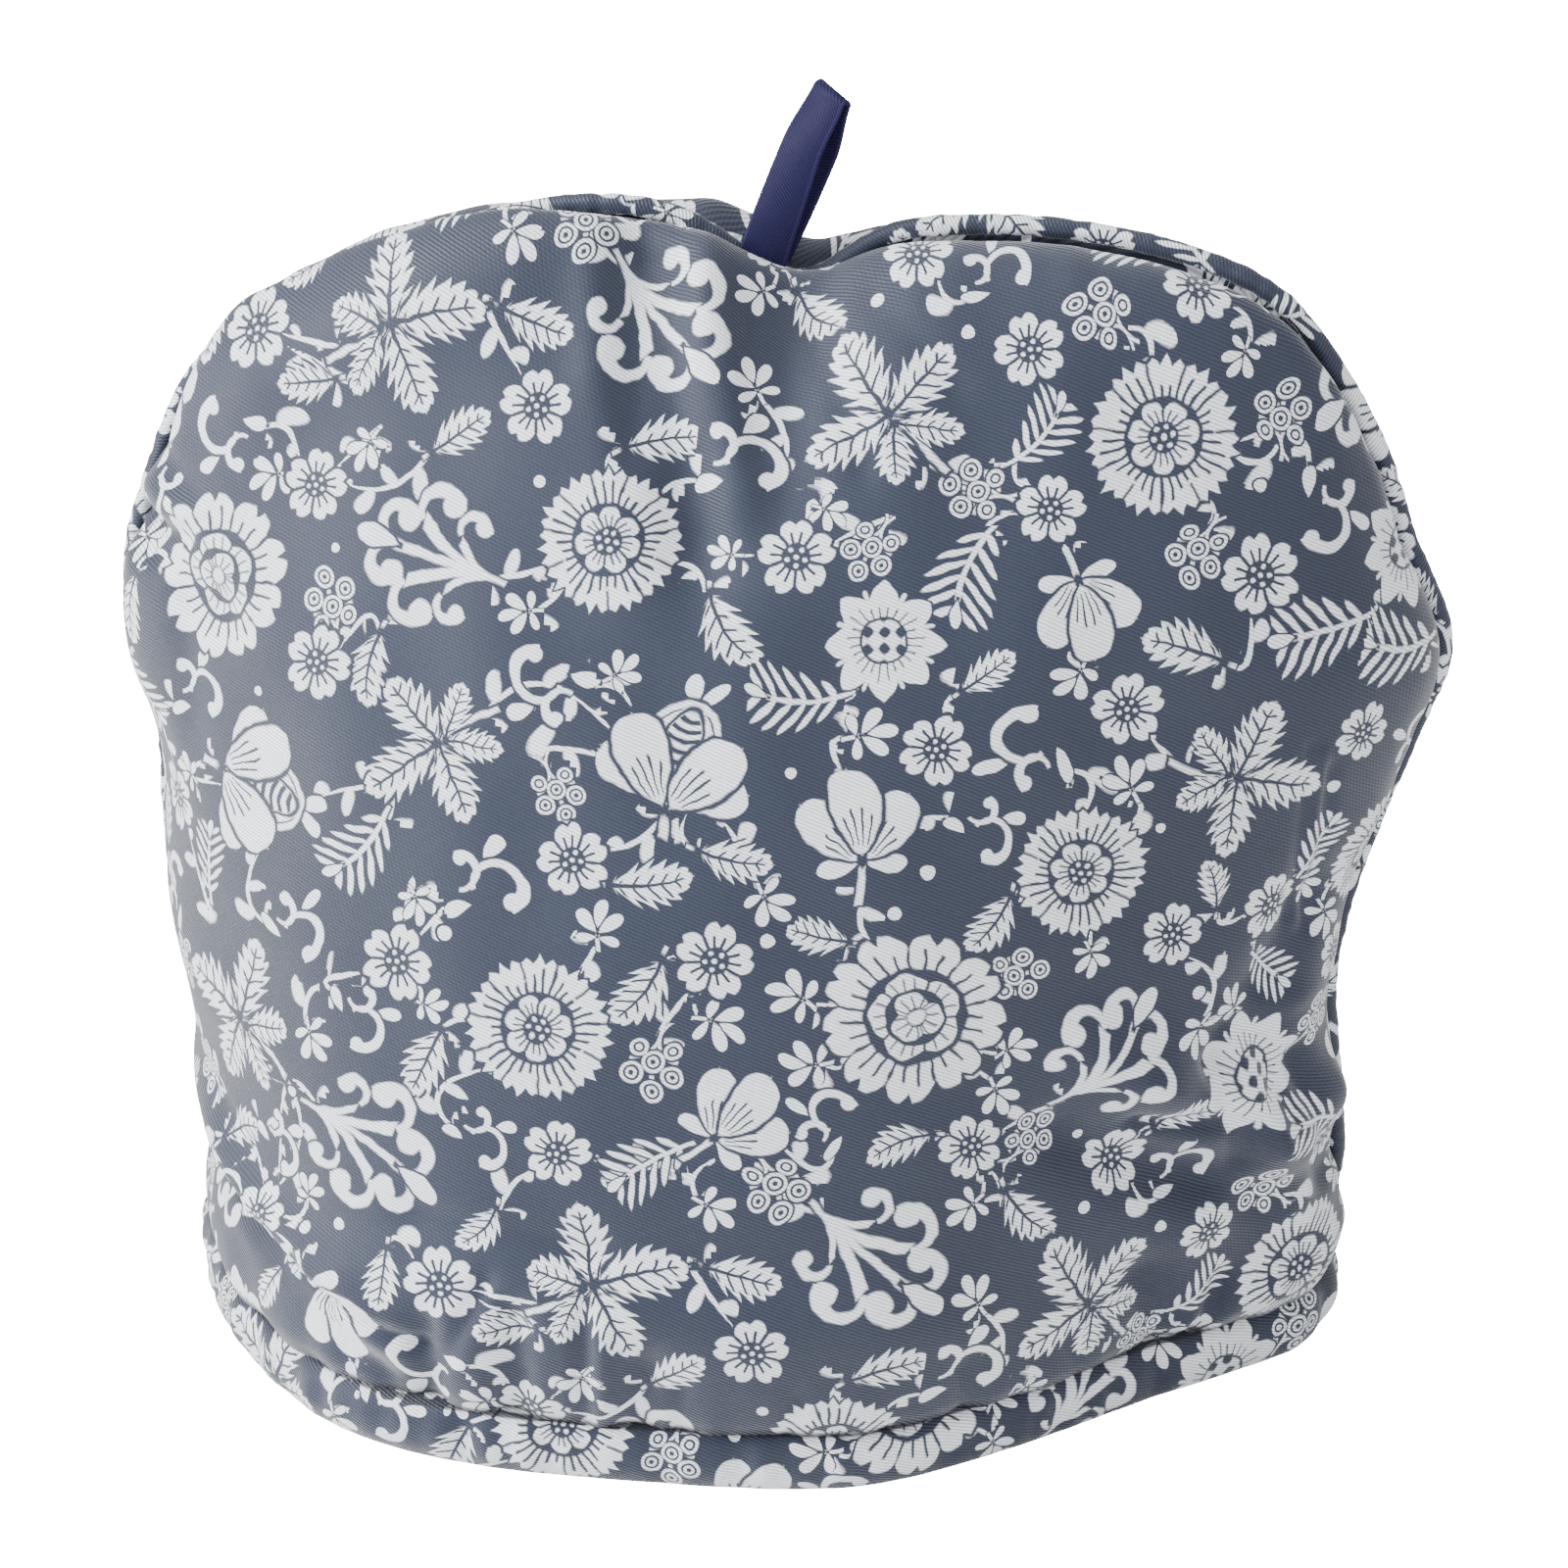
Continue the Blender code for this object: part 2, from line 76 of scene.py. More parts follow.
# The seam line seen from the front, from the left hem corner over the top to the right one.
SEAM_LINE = (
    # x, z
    (-0.1310, HEM_DEPTH),
    (-0.1268, 0.0350),
    (-0.1290, 0.0620),
    (-0.1335, 0.0860),
    (-0.1345, 0.1100),
    (-0.1345, 0.1320),
    (-0.1375, 0.1520),
    (-0.1400, 0.1700),
    (-0.1345, 0.1900),
    (-0.1255, 0.2110),
    (-0.1120, 0.2275),
    (-0.0955, 0.2390),
    (-0.0760, 0.2480),
    (-0.0480, 0.2545),
    (-0.0120, DOME_TOP),
    (0.0300, 0.2530),
    (0.0560, 0.2532),
    (0.0810, 0.2495),
    (0.1015, 0.2415),
    (0.1142, 0.2272),
    (0.1245, 0.2090),
    (0.1312, 0.1900),
    (0.1400, 0.1680),
    (0.1355, 0.1500),
    (0.1280, 0.1280),
    (0.1215, 0.1060),
    (0.1190, 0.0860),
    (0.1215, 0.0600),
    (0.1238, 0.0350),
    (0.1255, HEM_DEPTH),
)
LEFT_SHOULDER, RIGHT_SHOULDER = 10, 19  # rows of SEAM_LINE where side becomes top

# The hem's stitching line from above: the front from left to right, then on round the back.
HEM_FRONT = (
    # x, y
    (-0.1310, 0.000),
    (-0.1282, -0.017),
    (-0.1188, -0.0425),
    (-0.1030, -0.0655),
    (-0.0835, -0.0815),
    (-0.0550, -0.0905),
    (-0.0150, -0.0930),
    (0.0165, -0.0920),
    (0.0370, -0.0855),
    (0.0620, -0.0692),
    (0.0880, -0.0487),
    (0.1070, -0.0352),
    (0.1200, -0.0240),
    (0.1250, -0.0110),
    (0.1255, 0.000),
)
HEM_BACK = (
    # x, y
    (0.1215, 0.018),
    (0.1070, 0.048),
    (0.0810, 0.0720),
    (0.0460, 0.0875),
    (0.0050, 0.0925),
    (-0.0430, 0.0885),
    (-0.0810, 0.0765),
    (-0.1100, 0.0540),
    (-0.1275, 0.0260),
)

# The depth closes over with height as a superellipse, and the plan settles from the hem's own
# line to a plain oval.
BODY_DEPTH = {"front": 0.0935, "back": 0.0915}
CLOSING_UP, CLOSING_OUT = 1.6, 1.5
OVAL_POWER = 0.92
PLAN_SETTLES = 0.45  # share of the height by which the plan is that oval

DIP = {"x": 0.0055, "left": 0.018, "right": 0.0145, "depth": 0.0092, "from_z": 0.205}
SWAYS = (
    # x, z, reach_x, reach_z, back
    (0.130, 0.080, 0.050, 0.042, -0.0090),
    (-0.115, 0.232, 0.060, 0.060, 0.0100),
    (-0.140, 0.100, 0.045, 0.080, 0.0050),
    (0.135, 0.190, 0.045, 0.040, -0.0020),
)
SWAY_RISE = 0.030

# Folds: a soft line from one end to the other in the front view, how wide it is across and
# how far it stands out (+) or sinks in (-). It fades past its ends over FOLD_ENDS widths.
FOLD_ENDS = 1.5
FOLDS = {
    "front": (
        # x0, z0, x1, z1, width, height
        (-0.026, 0.262, -0.012, 0.205, 0.0085, -0.0050),
        (-0.012, 0.250, -0.004, 0.214, 0.0070, 0.0022),
        (0.006, 0.250, 0.004, 0.208, 0.0080, -0.0024),
        (-0.150, 0.188, -0.118, 0.176, 0.0060, -0.0050),
        (-0.138, 0.160, -0.122, 0.196, 0.0120, 0.0020),
        (0.074, 0.096, 0.106, 0.066, 0.0080, 0.0042),
        (0.066, 0.078, 0.104, 0.054, 0.0070, -0.0050),
        (0.096, 0.086, 0.116, 0.118, 0.0070, -0.0034),
        (0.100, 0.052, 0.124, 0.066, 0.0080, 0.0034),
        (-0.128, 0.046, -0.078, 0.022, 0.0050, -0.0040),
        (-0.122, 0.054, -0.080, 0.034, 0.0060, 0.0024),
        (-0.070, 0.040, 0.040, 0.040, 0.0120, 0.0026),
        (-0.067, 0.013, -0.065, 0.034, 0.0035, -0.0030),
        (-0.049, 0.013, -0.046, 0.038, 0.0040, -0.0034),
        (-0.022, 0.013, -0.018, 0.030, 0.0045, -0.0024),
        (0.090, 0.013, 0.084, 0.036, 0.0050, -0.0040),
    ),
    "back": (
        # x0, z0, x1, z1, width, height
        (0.010, 0.262, 0.016, 0.214, 0.0090, -0.0040),
        (-0.090, 0.110, -0.040, 0.086, 0.0120, -0.0030),
        (0.060, 0.070, 0.104, 0.104, 0.0100, -0.0034),
        (-0.050, 0.036, 0.060, 0.038, 0.0120, 0.0024),
        (-0.040, 0.013, -0.043, 0.036, 0.0045, -0.0030),
        (0.034, 0.013, 0.038, 0.034, 0.0045, -0.0030),
    ),
}
# Small gathers along each seam. Their waves run over x and z of the front view, scaled so that
# they lie square to the seam.
PUCKERS = (
    # seam, x scale, z scale, wavelength, fades over, height
    ("hem", 1.00, 0.10, 0.011, 0.009, 0.00042),
    ("top", 1.00, 0.15, 0.012, 0.008, 0.00030),
    ("side", 0.15, 1.00, 0.014, 0.008, 0.00030),
)
PUCKER_START = 0.004  # cloth length from the top and side seams over which theirs set in
PUCKER_SEED = {"front": 3, "back": 4}
UNEVEN_REACH, UNEVEN_HEIGHT = 0.034, 0.00035  # of the panels' faces
UNEVEN_SEED = {"front": 21, "back": 22}
# Finer creases, which only the visible cloth has.
CREASE_FADE = 0.006  # cloth length from a seam over which they die away
CREASES = {
    "front": (
        # x0, z0, x1, z1, width, height
        (-0.108, 0.223, -0.058, 0.2500, 0.0120, 0.0048),
        (-0.029, 0.252, -0.026, 0.222, 0.0045, -0.0020),
        (-0.038, 0.250, -0.036, 0.232, 0.0045, 0.0010),
        (-0.016, 0.250, -0.013, 0.228, 0.0045, 0.0012),
        (0.010, 0.246, 0.022, 0.218, 0.0030, -0.0009),
        (-0.004, 0.244, 0.000, 0.222, 0.0026, -0.0010),
        (0.022, 0.246, 0.040, 0.232, 0.0030, -0.0007),
        (-0.143, 0.1840, -0.124, 0.1860, 0.0022, -0.0026),
        (-0.136, 0.1910, -0.120, 0.1920, 0.0032, 0.0012),
        (-0.136, 0.1760, -0.118, 0.1800, 0.0030, 0.0010),
        (-0.124, 0.1740, -0.121, 0.1480, 0.0040, -0.0012),
        (0.083, 0.0880, 0.098, 0.0810, 0.0046, 0.0026),
        (0.082, 0.0785, 0.094, 0.0745, 0.0024, -0.0032),
        (0.0965, 0.0860, 0.1030, 0.0620, 0.0024, -0.0028),
        (0.1005, 0.0900, 0.1085, 0.0640, 0.0022, 0.0018),
        (0.1060, 0.0900, 0.1120, 0.0700, 0.0018, -0.0014),
        (0.0985, 0.1000, 0.1120, 0.0960, 0.0030, 0.0012),
        (0.1140, 0.0800, 0.1215, 0.0440, 0.0024, -0.0034),
        (0.1080, 0.0660, 0.1150, 0.0440, 0.0036, 0.0016),
        (0.1145, 0.158, 0.1125, 0.116, 0.0018, -0.0008),
        (0.1185, 0.152, 0.1165, 0.112, 0.0016, -0.0009),
        (0.1165, 0.156, 0.1145, 0.114, 0.0014, 0.0006),
        (-0.113, 0.0420, -0.090, 0.0345, 0.0026, -0.0036),
        (-0.090, 0.0345, -0.068, 0.0300, 0.0022, -0.0028),
        (-0.112, 0.0500, -0.084, 0.0415, 0.0040, 0.0018),
        (-0.108, 0.0330, -0.076, 0.0240, 0.0042, 0.0018),
        (-0.104, 0.0440, -0.098, 0.0330, 0.0014, 0.0010),
        (-0.089, 0.0400, -0.083, 0.0290, 0.0014, 0.0009),
        (-0.118, 0.0620, -0.104, 0.0520, 0.0030, -0.0010),
        (-0.0520, 0.0470, -0.0630, 0.0240, 0.0022, -0.0015),
        (-0.0310, 0.0430, -0.0315, 0.0180, 0.0024, -0.0017),
        (-0.0270, 0.0400, -0.0275, 0.0180, 0.0022, 0.0009),
        (-0.0660, 0.0590, -0.0300, 0.0565, 0.0045, -0.0017),
        (-0.0450, 0.015, -0.0440, 0.027, 0.0018, -0.0009),
        (-0.0120, 0.015, -0.0100, 0.027, 0.0020, -0.0008),
        (0.012, 0.015, 0.014, 0.026, 0.0018, -0.0008),
        (0.048, 0.015, 0.046, 0.028, 0.0020, -0.0010),
        (0.072, 0.015, 0.068, 0.027, 0.0020, -0.0008),
        (0.0960, 0.0180, 0.1180, 0.0240, 0.0060, 0.0026),
        (0.0960, 0.0130, 0.1010, 0.0290, 0.0024, -0.0026),
        (-0.130, 0.200, -0.116, 0.192, 0.0030, -0.0009),
    ),
    "back": (
        # x0, z0, x1, z1, width, height
        (-0.010, 0.2520, 0.010, 0.2520, 0.0080, 0.0040),
        (0.000, 0.246, -0.006, 0.222, 0.0030, -0.0008),
        (0.024, 0.244, 0.034, 0.220, 0.0030, -0.0008),
        (-0.080, 0.015, -0.076, 0.032, 0.0022, -0.0009),
        (0.070, 0.015, 0.066, 0.030, 0.0022, -0.0009),
    ),
}

# The hem binding's section: steps out from the stitching line, and heights, anticlockwise.
BINDING_SECTION = (
    # out, z
    (-0.0012, HEM_DEPTH - 0.0002),
    (0.0016, 0.0142),
    (0.0039, 0.0120),
    (0.0048, 0.0085),
    (0.0046, 0.0042),
    (0.0030, 0.0010),
    (0.0004, 0.0000),
    (-0.0036, 0.0000),
    (-0.0056, 0.0022),
    (-0.0062, 0.0066),
    (-0.0053, 0.0106),
    (-0.0024, HEM_DEPTH - 0.0004),
)

GATHER_REACH, GATHER_HEIGHT = 0.009, 0.00044  # of the binding below its seam
SWELL_REACH, SWELL_HEIGHT = 0.050, 0.00030  # and of its upper edge

RIBBON_WIDTH = 0.0106
RIBBON_THICK = 0.0009
RIBBON_FOOT = (-0.0025, 0.2505)  # x and z of the middle of its lower end
RIBBON_TOP = (0.0120, 0.2870)  # and of its fold
RIBBON_LEGS = 0.0062  # between the two legs' middles, front to back
RIBBON_FOLD = 0.0010  # radius of the pressed fold at its top
RIBBON_OPENS = 0.0130  # length below the fold over which the legs part
RIBBON_TURN = (8.0, 46.0)  # degrees it is turned to the left at its foot and at its fold
RIBBON_PINCH, RIBBON_PINCHED = 0.20, 0.22  # how much its legs close at its foot, up to what share

# How finely the pieces are divided.
PANEL_GRID = (300, 244)
INSIDE_GRID = (76, 60)
HEM_GRID = (720, 44)
PIPING_GRID = (900, 16)
RIBBON_ROWS = 36  # along each leg, and round the fold
NET_GRID = (41, 35)  # of the net that lays a panel flat
NET_ROUNDS = 900
NET_PULL = 0.11  # share of a spring's error that each of its ends makes up in a round

# The view: degrees round and up, the aim, the distance and the lens on a 36 mm sensor.
VIEW_ROUND, VIEW_UP = 6.0, 26.0
VIEW_AIM = (0.0015, 0.0, 0.125)
VIEW_DISTANCE = 1.10
VIEW_LENS = 112.6

# ---------------------------------------------------------------- small helpers


def smooth_step(value):
    value = np.clip(value, 0.0, 1.0)
    return value * value * (3.0 - 2.0 * value)


def spread(count, closed=False):
    """Even shares from 0 to 1, without the 1 where the line is closed."""
    return np.linspace(0.0, 1.0, count, endpoint=not closed)


def unit(vectors):
    length = np.linalg.norm(vectors, axis=-1, keepdims=True)
    return vectors / np.maximum(length, 1e-12)


def curve_through(rows, closed=False):
    """A Catmull-Rom curve through the rows, as a fine polyline."""
    p = np.array(rows, float)
    if closed:
        p = np.concatenate([p[-1:], p, p[:2]])
    else:
        p = np.concatenate([2 * p[:1] - p[1:2], p, 2 * p[-1:] - p[-2:-1]])
    t = spread(STEPS, True)[:, None]
    a, b, c, d = p[:-3, None], p[1:-2, None], p[2:-1, None], p[3:, None]
    made = 0.5 * (
        2 * b
        + (c - a) * t
        + (2 * a - 5 * b + 4 * c - d) * t**2
        + (3 * b - a - 3 * c + d) * t**3
    )
    made = made.reshape(-1, p.shape[1])
    return made if closed else np.concatenate([made, p[-2:-1]])


def lengths_along(points):
    steps = np.linalg.norm(np.diff(points, axis=0), axis=-1)
    return np.concatenate([np.zeros((1, *steps.shape[1:])), np.cumsum(steps, axis=0)])


def at_shares(points, shares):
    """Points at these shares of the polyline's length."""
    along = lengths_along(points)
    wanted = np.asarray(shares) * along[-1]
    return np.stack([np.interp(wanted, along, points[:, k]) for k in range(points.shape[1])], -1)


def waves(x, y, reach, seed, count=24):
    """Smooth unevenness of about 1 in size: the sum of sines in random directions whose
    wavelengths are about reach."""
    rng = np.random.default_rng(seed)
    turn = rng.uniform(0.0, 2 * math.pi, count)
    pace = 2 * math.pi / (reach * rng.uniform(0.6, 1.7, count))
    start = rng.uniform(0.0, 2 * math.pi, count)
    total = np.zeros(np.shape(x))
    for t, k, s in zip(turn, pace, start):
        total += np.sin(k * (np.cos(t) * x + np.sin(t) * y) + s)
    return total / math.sqrt(count / 2)


# ---------------------------------------------------------------- the body's surface


def seam_parts():
    """The seam line's left side, top and right side. The right side is given upwards too."""
    line = curve_through(SEAM_LINE)
    left, right = LEFT_SHOULDER * STEPS, RIGHT_SHOULDER * STEPS
    return line[: left + 1], line[left : right + 1], line[right:][::-1]


def hem_loop():
    """The closed stitching line of the hem, from above, and the index of its right corner."""
    return curve_through(HEM_FRONT + HEM_BACK, closed=True), (len(HEM_FRONT) - 1) * STEPS


def hem_line(side):
    """The front or back half of the hem's stitching line, from left to right."""
    loop, corner = hem_loop()
    if side == "front":
        return loop[: corner + 1]
    return np.concatenate([loop[corner:], loop[:1]])[::-1]


def base_surface(side, across, up):
    """The panel's middle surface, points [across][up]. In the front view it is a Coons patch
    between the hem line, the two sides and the top of the seam line:
    (1-v) foot + v crown + (1-s) west + s east - corners, with s = (1 + sin) / 2 of the way
    across and v = sin of the way up. Its depth is the hem's, times (1 - v^1.6)^(1/1.5)."""
    left, top, right = seam_parts()
    hem = at_shares(hem_line(side), across)
    angle = (across - 0.5) * math.pi
    s = (0.5 + 0.5 * np.sin(angle))[:, None, None]
    rise = np.sin(up * math.pi / 2)
    v = rise[None, :, None]
    foot = np.stack([hem[:, 0], np.full(len(hem), HEM_DEPTH)], -1)[:, None]
    crown = at_shares(top, s[:, 0, 0])[:, None]
    west = at_shares(left, rise)[None]
    east = at_shares(right, rise)[None]
    corners = (
        (1 - s) * (1 - v) * left[0]
        + (1 - s) * v * left[-1]
        + s * (1 - v) * right[0]
        + s * v * right[-1]
    )
    front_view = (1 - v) * foot + v * crown + (1 - s) * west + s * east - corners
    closing = np.maximum(1.0 - rise**CLOSING_UP, 0.0) ** (1.0 / CLOSING_OUT)
    oval = SIDE_SIGN[side] * BODY_DEPTH[side] * np.maximum(np.cos(angle), 0.0) ** OVAL_POWER
    settled = smooth_step(rise / PLAN_SETTLES)[None]
    depth = ((1 - settled) * hem[:, 1:2] + settled * oval[:, None]) * closing[None]
    return np.stack([front_view[..., 0], depth, front_view[..., 1]], -1)


def outward(side, base):
    """Unit normals of the middle surface: in the seam's plane along the seam, and level along
    the hem."""
    sign = SIDE_SIGN[side]
    normal = unit(np.cross(np.gradient(base, axis=0), np.gradient(base, axis=1))) * -sign
    normal[..., 1] = sign * np.maximum(sign * normal[..., 1], 0.0)
    normal[0, :, 1] = 0.0
    normal[-1, :, 1] = 0.0
    normal[:, -1, 1] = 0.0
    normal[:, 0, 2] = 0.0
    for shoulder, beside in ((0, 1), (-1, -2)):
        normal[shoulder, -1] = unit(normal[shoulder, -2]) + unit(normal[beside, -1])
    return unit(normal)


def cloth_in_from_edges(base):
    """Cloth length from each point to the side seam, to the top seam and to the hem."""
    across = lengths_along(base)
    upward = lengths_along(base.swapaxes(0, 1)).T
    from_side = np.minimum(across, across[-1] - across)
    return {"side": from_side, "top": upward[:, -1:] - upward, "hem": upward}


def rolled(length, over):
    """A quarter round: 0 at the seam, 1 once the cloth is this far over."""
    share = np.clip(length / over, 0.0, 1.0)
    return np.sqrt(1.0 - (1.0 - share) ** 2)


def fold_height(rows, base):
    """The sum of the folds at each point: a bell across each line, fading past its ends."""
    x, z = base[..., 0], base[..., 2]
    total = np.zeros(x.shape)
    for x0, z0, x1, z1, width, height in rows:
        length = math.hypot(x1 - x0, z1 - z0)
        ex, ez = (x1 - x0) / length, (z1 - z0) / length
        along = (x - x0) * ex + (z - z0) * ez
        off = (x - x0) * ez - (z - z0) * ex
        past = np.maximum(np.maximum(-along, along - length), 0.0)
        total += height * np.exp(-((off / width) ** 2) - (past / (FOLD_ENDS * width)) ** 2)
    return total


def settle(points):
    """Moves points as the whole cover has settled: the dip under the loop, and the sways of
    the seam out of its plane."""
    x, y, z = points[..., 0], points[..., 1], points[..., 2]
    reach = np.where(x < DIP["x"], DIP["left"], DIP["right"])
    near_top = smooth_step((z - DIP["from_z"]) / (DOME_TOP - DIP["from_z"]))
    sink = DIP["depth"] * np.exp(-(((x - DIP["x"]) / reach) ** 2)) * near_top
    sway = np.zeros(x.shape)
    for at_x, at_z, reach_x, reach_z, back in SWAYS:
        sway += back * np.exp(-(((x - at_x) / reach_x) ** 2) - ((z - at_z) / reach_z) ** 2)
    sway = sway * smooth_step((z - HEM_DEPTH) / SWAY_RISE)
    return np.stack([x, y + sway, z - sink], -1)


def puckers(side, base, lengths):
    """Small gathers along the seams: waves that run square to a seam and die away from it.
    lengths holds the cloth length from each seam."""
    near = smooth_step(np.minimum(lengths["side"], lengths["top"]) / PUCKER_START)
    total = np.zeros(base.shape[:2])
    seed = PUCKER_SEED[side]
    for seam, across, up, reach, fade, height in PUCKERS:
        made = waves(base[..., 0] * across, base[..., 2] * up, reach, seed)
        made = made * height * np.exp(-lengths[seam] / fade)
        total += made if seam == "hem" else made * near
        seed += 4
    return total


def on_its_side(side, points):
    """The points settled, on their own side of the seam's plane, with their foot behind the
    binding."""
    sign = SIDE_SIGN[side]
    points[..., 1] = sign * (np.maximum(sign * points[..., 1], 0.0) + SEAM_TUCK)
    points = settle(points)
    points[:, 0, 2] = HEM_DEPTH - PANEL_FOOT
    return points


# ---------------------------------------------------------------- the cloth laid flat


def laid_flat(points):
    """Where each point of the surface lies on the flat cloth, in metres: a spring net with the
    surface's own edge lengths, relaxed in the plane, with 0 at the middle of its lower edge."""
    across = lengths_along(points)
    upward = lengths_along(points.swapaxes(0, 1)).T
    middle = len(points) // 2
    flat = np.stack([across - across[middle], upward + 0 * across], -1)
    nets = (
        (slice(1, None), slice(None), slice(None, -1), slice(None)),
        (slice(None), slice(1, None), slice(None), slice(None, -1)),
        (slice(1, None), slice(1, None), slice(None, -1), slice(None, -1)),
        (slice(1, None), slice(None, -1), slice(None, -1), slice(1, None)),
    )
    rest = [np.linalg.norm(points[a, b] - points[c, d], axis=-1) for a, b, c, d in nets]
    for _ in range(NET_ROUNDS):
        move = np.zeros(flat.shape)
        for (a, b, c, d), length in zip(nets, rest):
            apart = flat[a, b] - flat[c, d]
            now = np.linalg.norm(apart, axis=-1)
            push = (NET_PULL * (length - now) / np.maximum(now, 1e-9))[..., None] * apart
            move[a, b] += push
            move[c, d] -= push
        flat += move
    return flat - flat[middle, 0]


def finer(values, old_across, old_up, across, up):
    """Values on a coarse grid, read off between its points on a finer one."""
    made = []
    for k in range(values.shape[-1]):
        rows = np.stack([np.interp(up, old_up, row) for row in values[..., k]])
        made.append(np.stack([np.interp(across, old_across, col) for col in rows.T], -1))
    return np.stack(made, -1)


# ---------------------------------------------------------------- the print's layout

# The print repeats over REPEAT across and up the cloth, and each repeat up is shifted across.
REPEAT = np.array([0.318, 0.196])
REPEAT_SHIFT = -0.058
MOTIF_GAP = 0.0005  # cloth left between neighbouring motifs of a layer
UPPER, LOWER = 1, 2
# What a repeat holds. The number of each kind is its place in this table. Its room is the share
# of its circle that it keeps others out of.
MOTIFS = (
    # kind, layer, count, smallest radius, largest radius, room, grows on a stem
    ("peony", UPPER, 2, 0.0175, 0.0190, 1.00, 0),
    ("rosette", UPPER, 5, 0.0145, 0.0164, 1.00, 0),
    ("trefoil", UPPER, 5, 0.0172, 0.0195, 0.84, 1),
    ("aster", UPPER, 3, 0.0125, 0.0145, 1.00, 0),
    ("bud", UPPER, 3, 0.0165, 0.0180, 0.90, 1),
    ("fountain", UPPER, 5, 0.0160, 0.0185, 0.88, 1),
    ("tulip", UPPER, 4, 0.0120, 0.0140, 0.92, 1),
    ("blossom", UPPER, 24, 0.0070, 0.0085, 1.00, 0),
    ("scroll", LOWER, 17, 0.0085, 0.0115, 0.86, 1),
    ("spray", LOWER, 14, 0.0085, 0.0120, 0.80, 1),
    ("leaf", LOWER, 24, 0.0072, 0.0102, 0.70, 1),
    ("berries", LOWER, 14, 0.0070, 0.0085, 0.92, 1),
    ("sprig", LOWER, 34, 0.0040, 0.0058, 0.90, 1),
    ("bead", LOWER, 20, 0.0012, 0.0019, 1.00, 0),
)
KINDS = {row[0]: number for number, row in enumerate(MOTIFS, start=1)}
LAYER = np.array([0] + [row[1] for row in MOTIFS])
ROOM = np.array([0.0] + [row[5] for row in MOTIFS])
HOSTS = [KINDS[name] for name in ("peony", "rosette", "aster", "bud", "blossom", "tulip")]
GROWING = [KINDS[row[0]] for row in MOTIFS if row[6]]
PLACES_TRIED = 60
SPREAD_ALL, SPREAD_KIND = 1.5, 0.5  # how much room counts to any motif, and to one of its kind
PUSHES = 400  # rounds in which motifs that overlap push each other apart
PUSH_ABOVE, PUSH_BESIDE = 0.6, 0.3  # share of an overlap made up in a round
TUCKED = 0.62  # share of an upper motif's room that a lower one keeps out of
BENT = {UPPER: 0.13, LOWER: 0.26}  # how far a motif may lean over, in radii
BEND_TIMES = 7.0  # so many times its turn sets which way and how far a motif leans
BEND_EVEN = 0.3  # keeps the middle of a motif that leans about where it was
MOTIF_REACH = 1.14  # radii from its middle past which nothing of a motif is drawn
FACE_REACH = 0.0009  # from the middle of a face of the cloth to its corners
STEM_POINTS = 22
STEM_START, STEM_END = 0.86, 0.70  # shares of the motif's and the flower's radius
STEM_UPWARD = 0.010  # how much farther a flower that isn't below the stem's foot seems
STEM_BELOW = 0.2  # and the cosine of its direction from which it counts as below
SAME_PLACE = 0.001  # no stem ends at its own motif
STEM_DOWN, STEM_ASIDE = 0.60, 0.25  # where a stem bends, in shares of its reach
STEM_LONGEST = {UPPER: 3.2, LOWER: 3.4}  # in radii of the motif that grows on it
STEM_REACH = 0.020  # how far from a stem the cloth knows of it
STEM_ROOM = 0.004  # nearer than this to the next stem, leaflets shrink
STEM_CLEAR = 0.0022  # and nearer than this to an earlier stem, a stem ends
STEM_TAPER = 0.007  # length over which a stem tapers to its end
STEM_TIP = 0.12  # and the share of its width that it keeps there
LEAST_ROOM = 0.001  # what a stem's faces say at the least, as 0 means no stem
STEM_JUMP = 0.003  # a face with more of the stem's length beside it lies inside a sharp bend
PRINT_SEED = 11


def wrapped(offset):
    """The shortest offset between two places of the repeating print."""
    turns = np.round(offset[..., 1] / REPEAT[1])
    x = offset[..., 0] - turns * REPEAT_SHIFT
    y = offset[..., 1] - turns * REPEAT[1]
    return np.stack([x - REPEAT[0] * np.round(x / REPEAT[0]), y], -1)


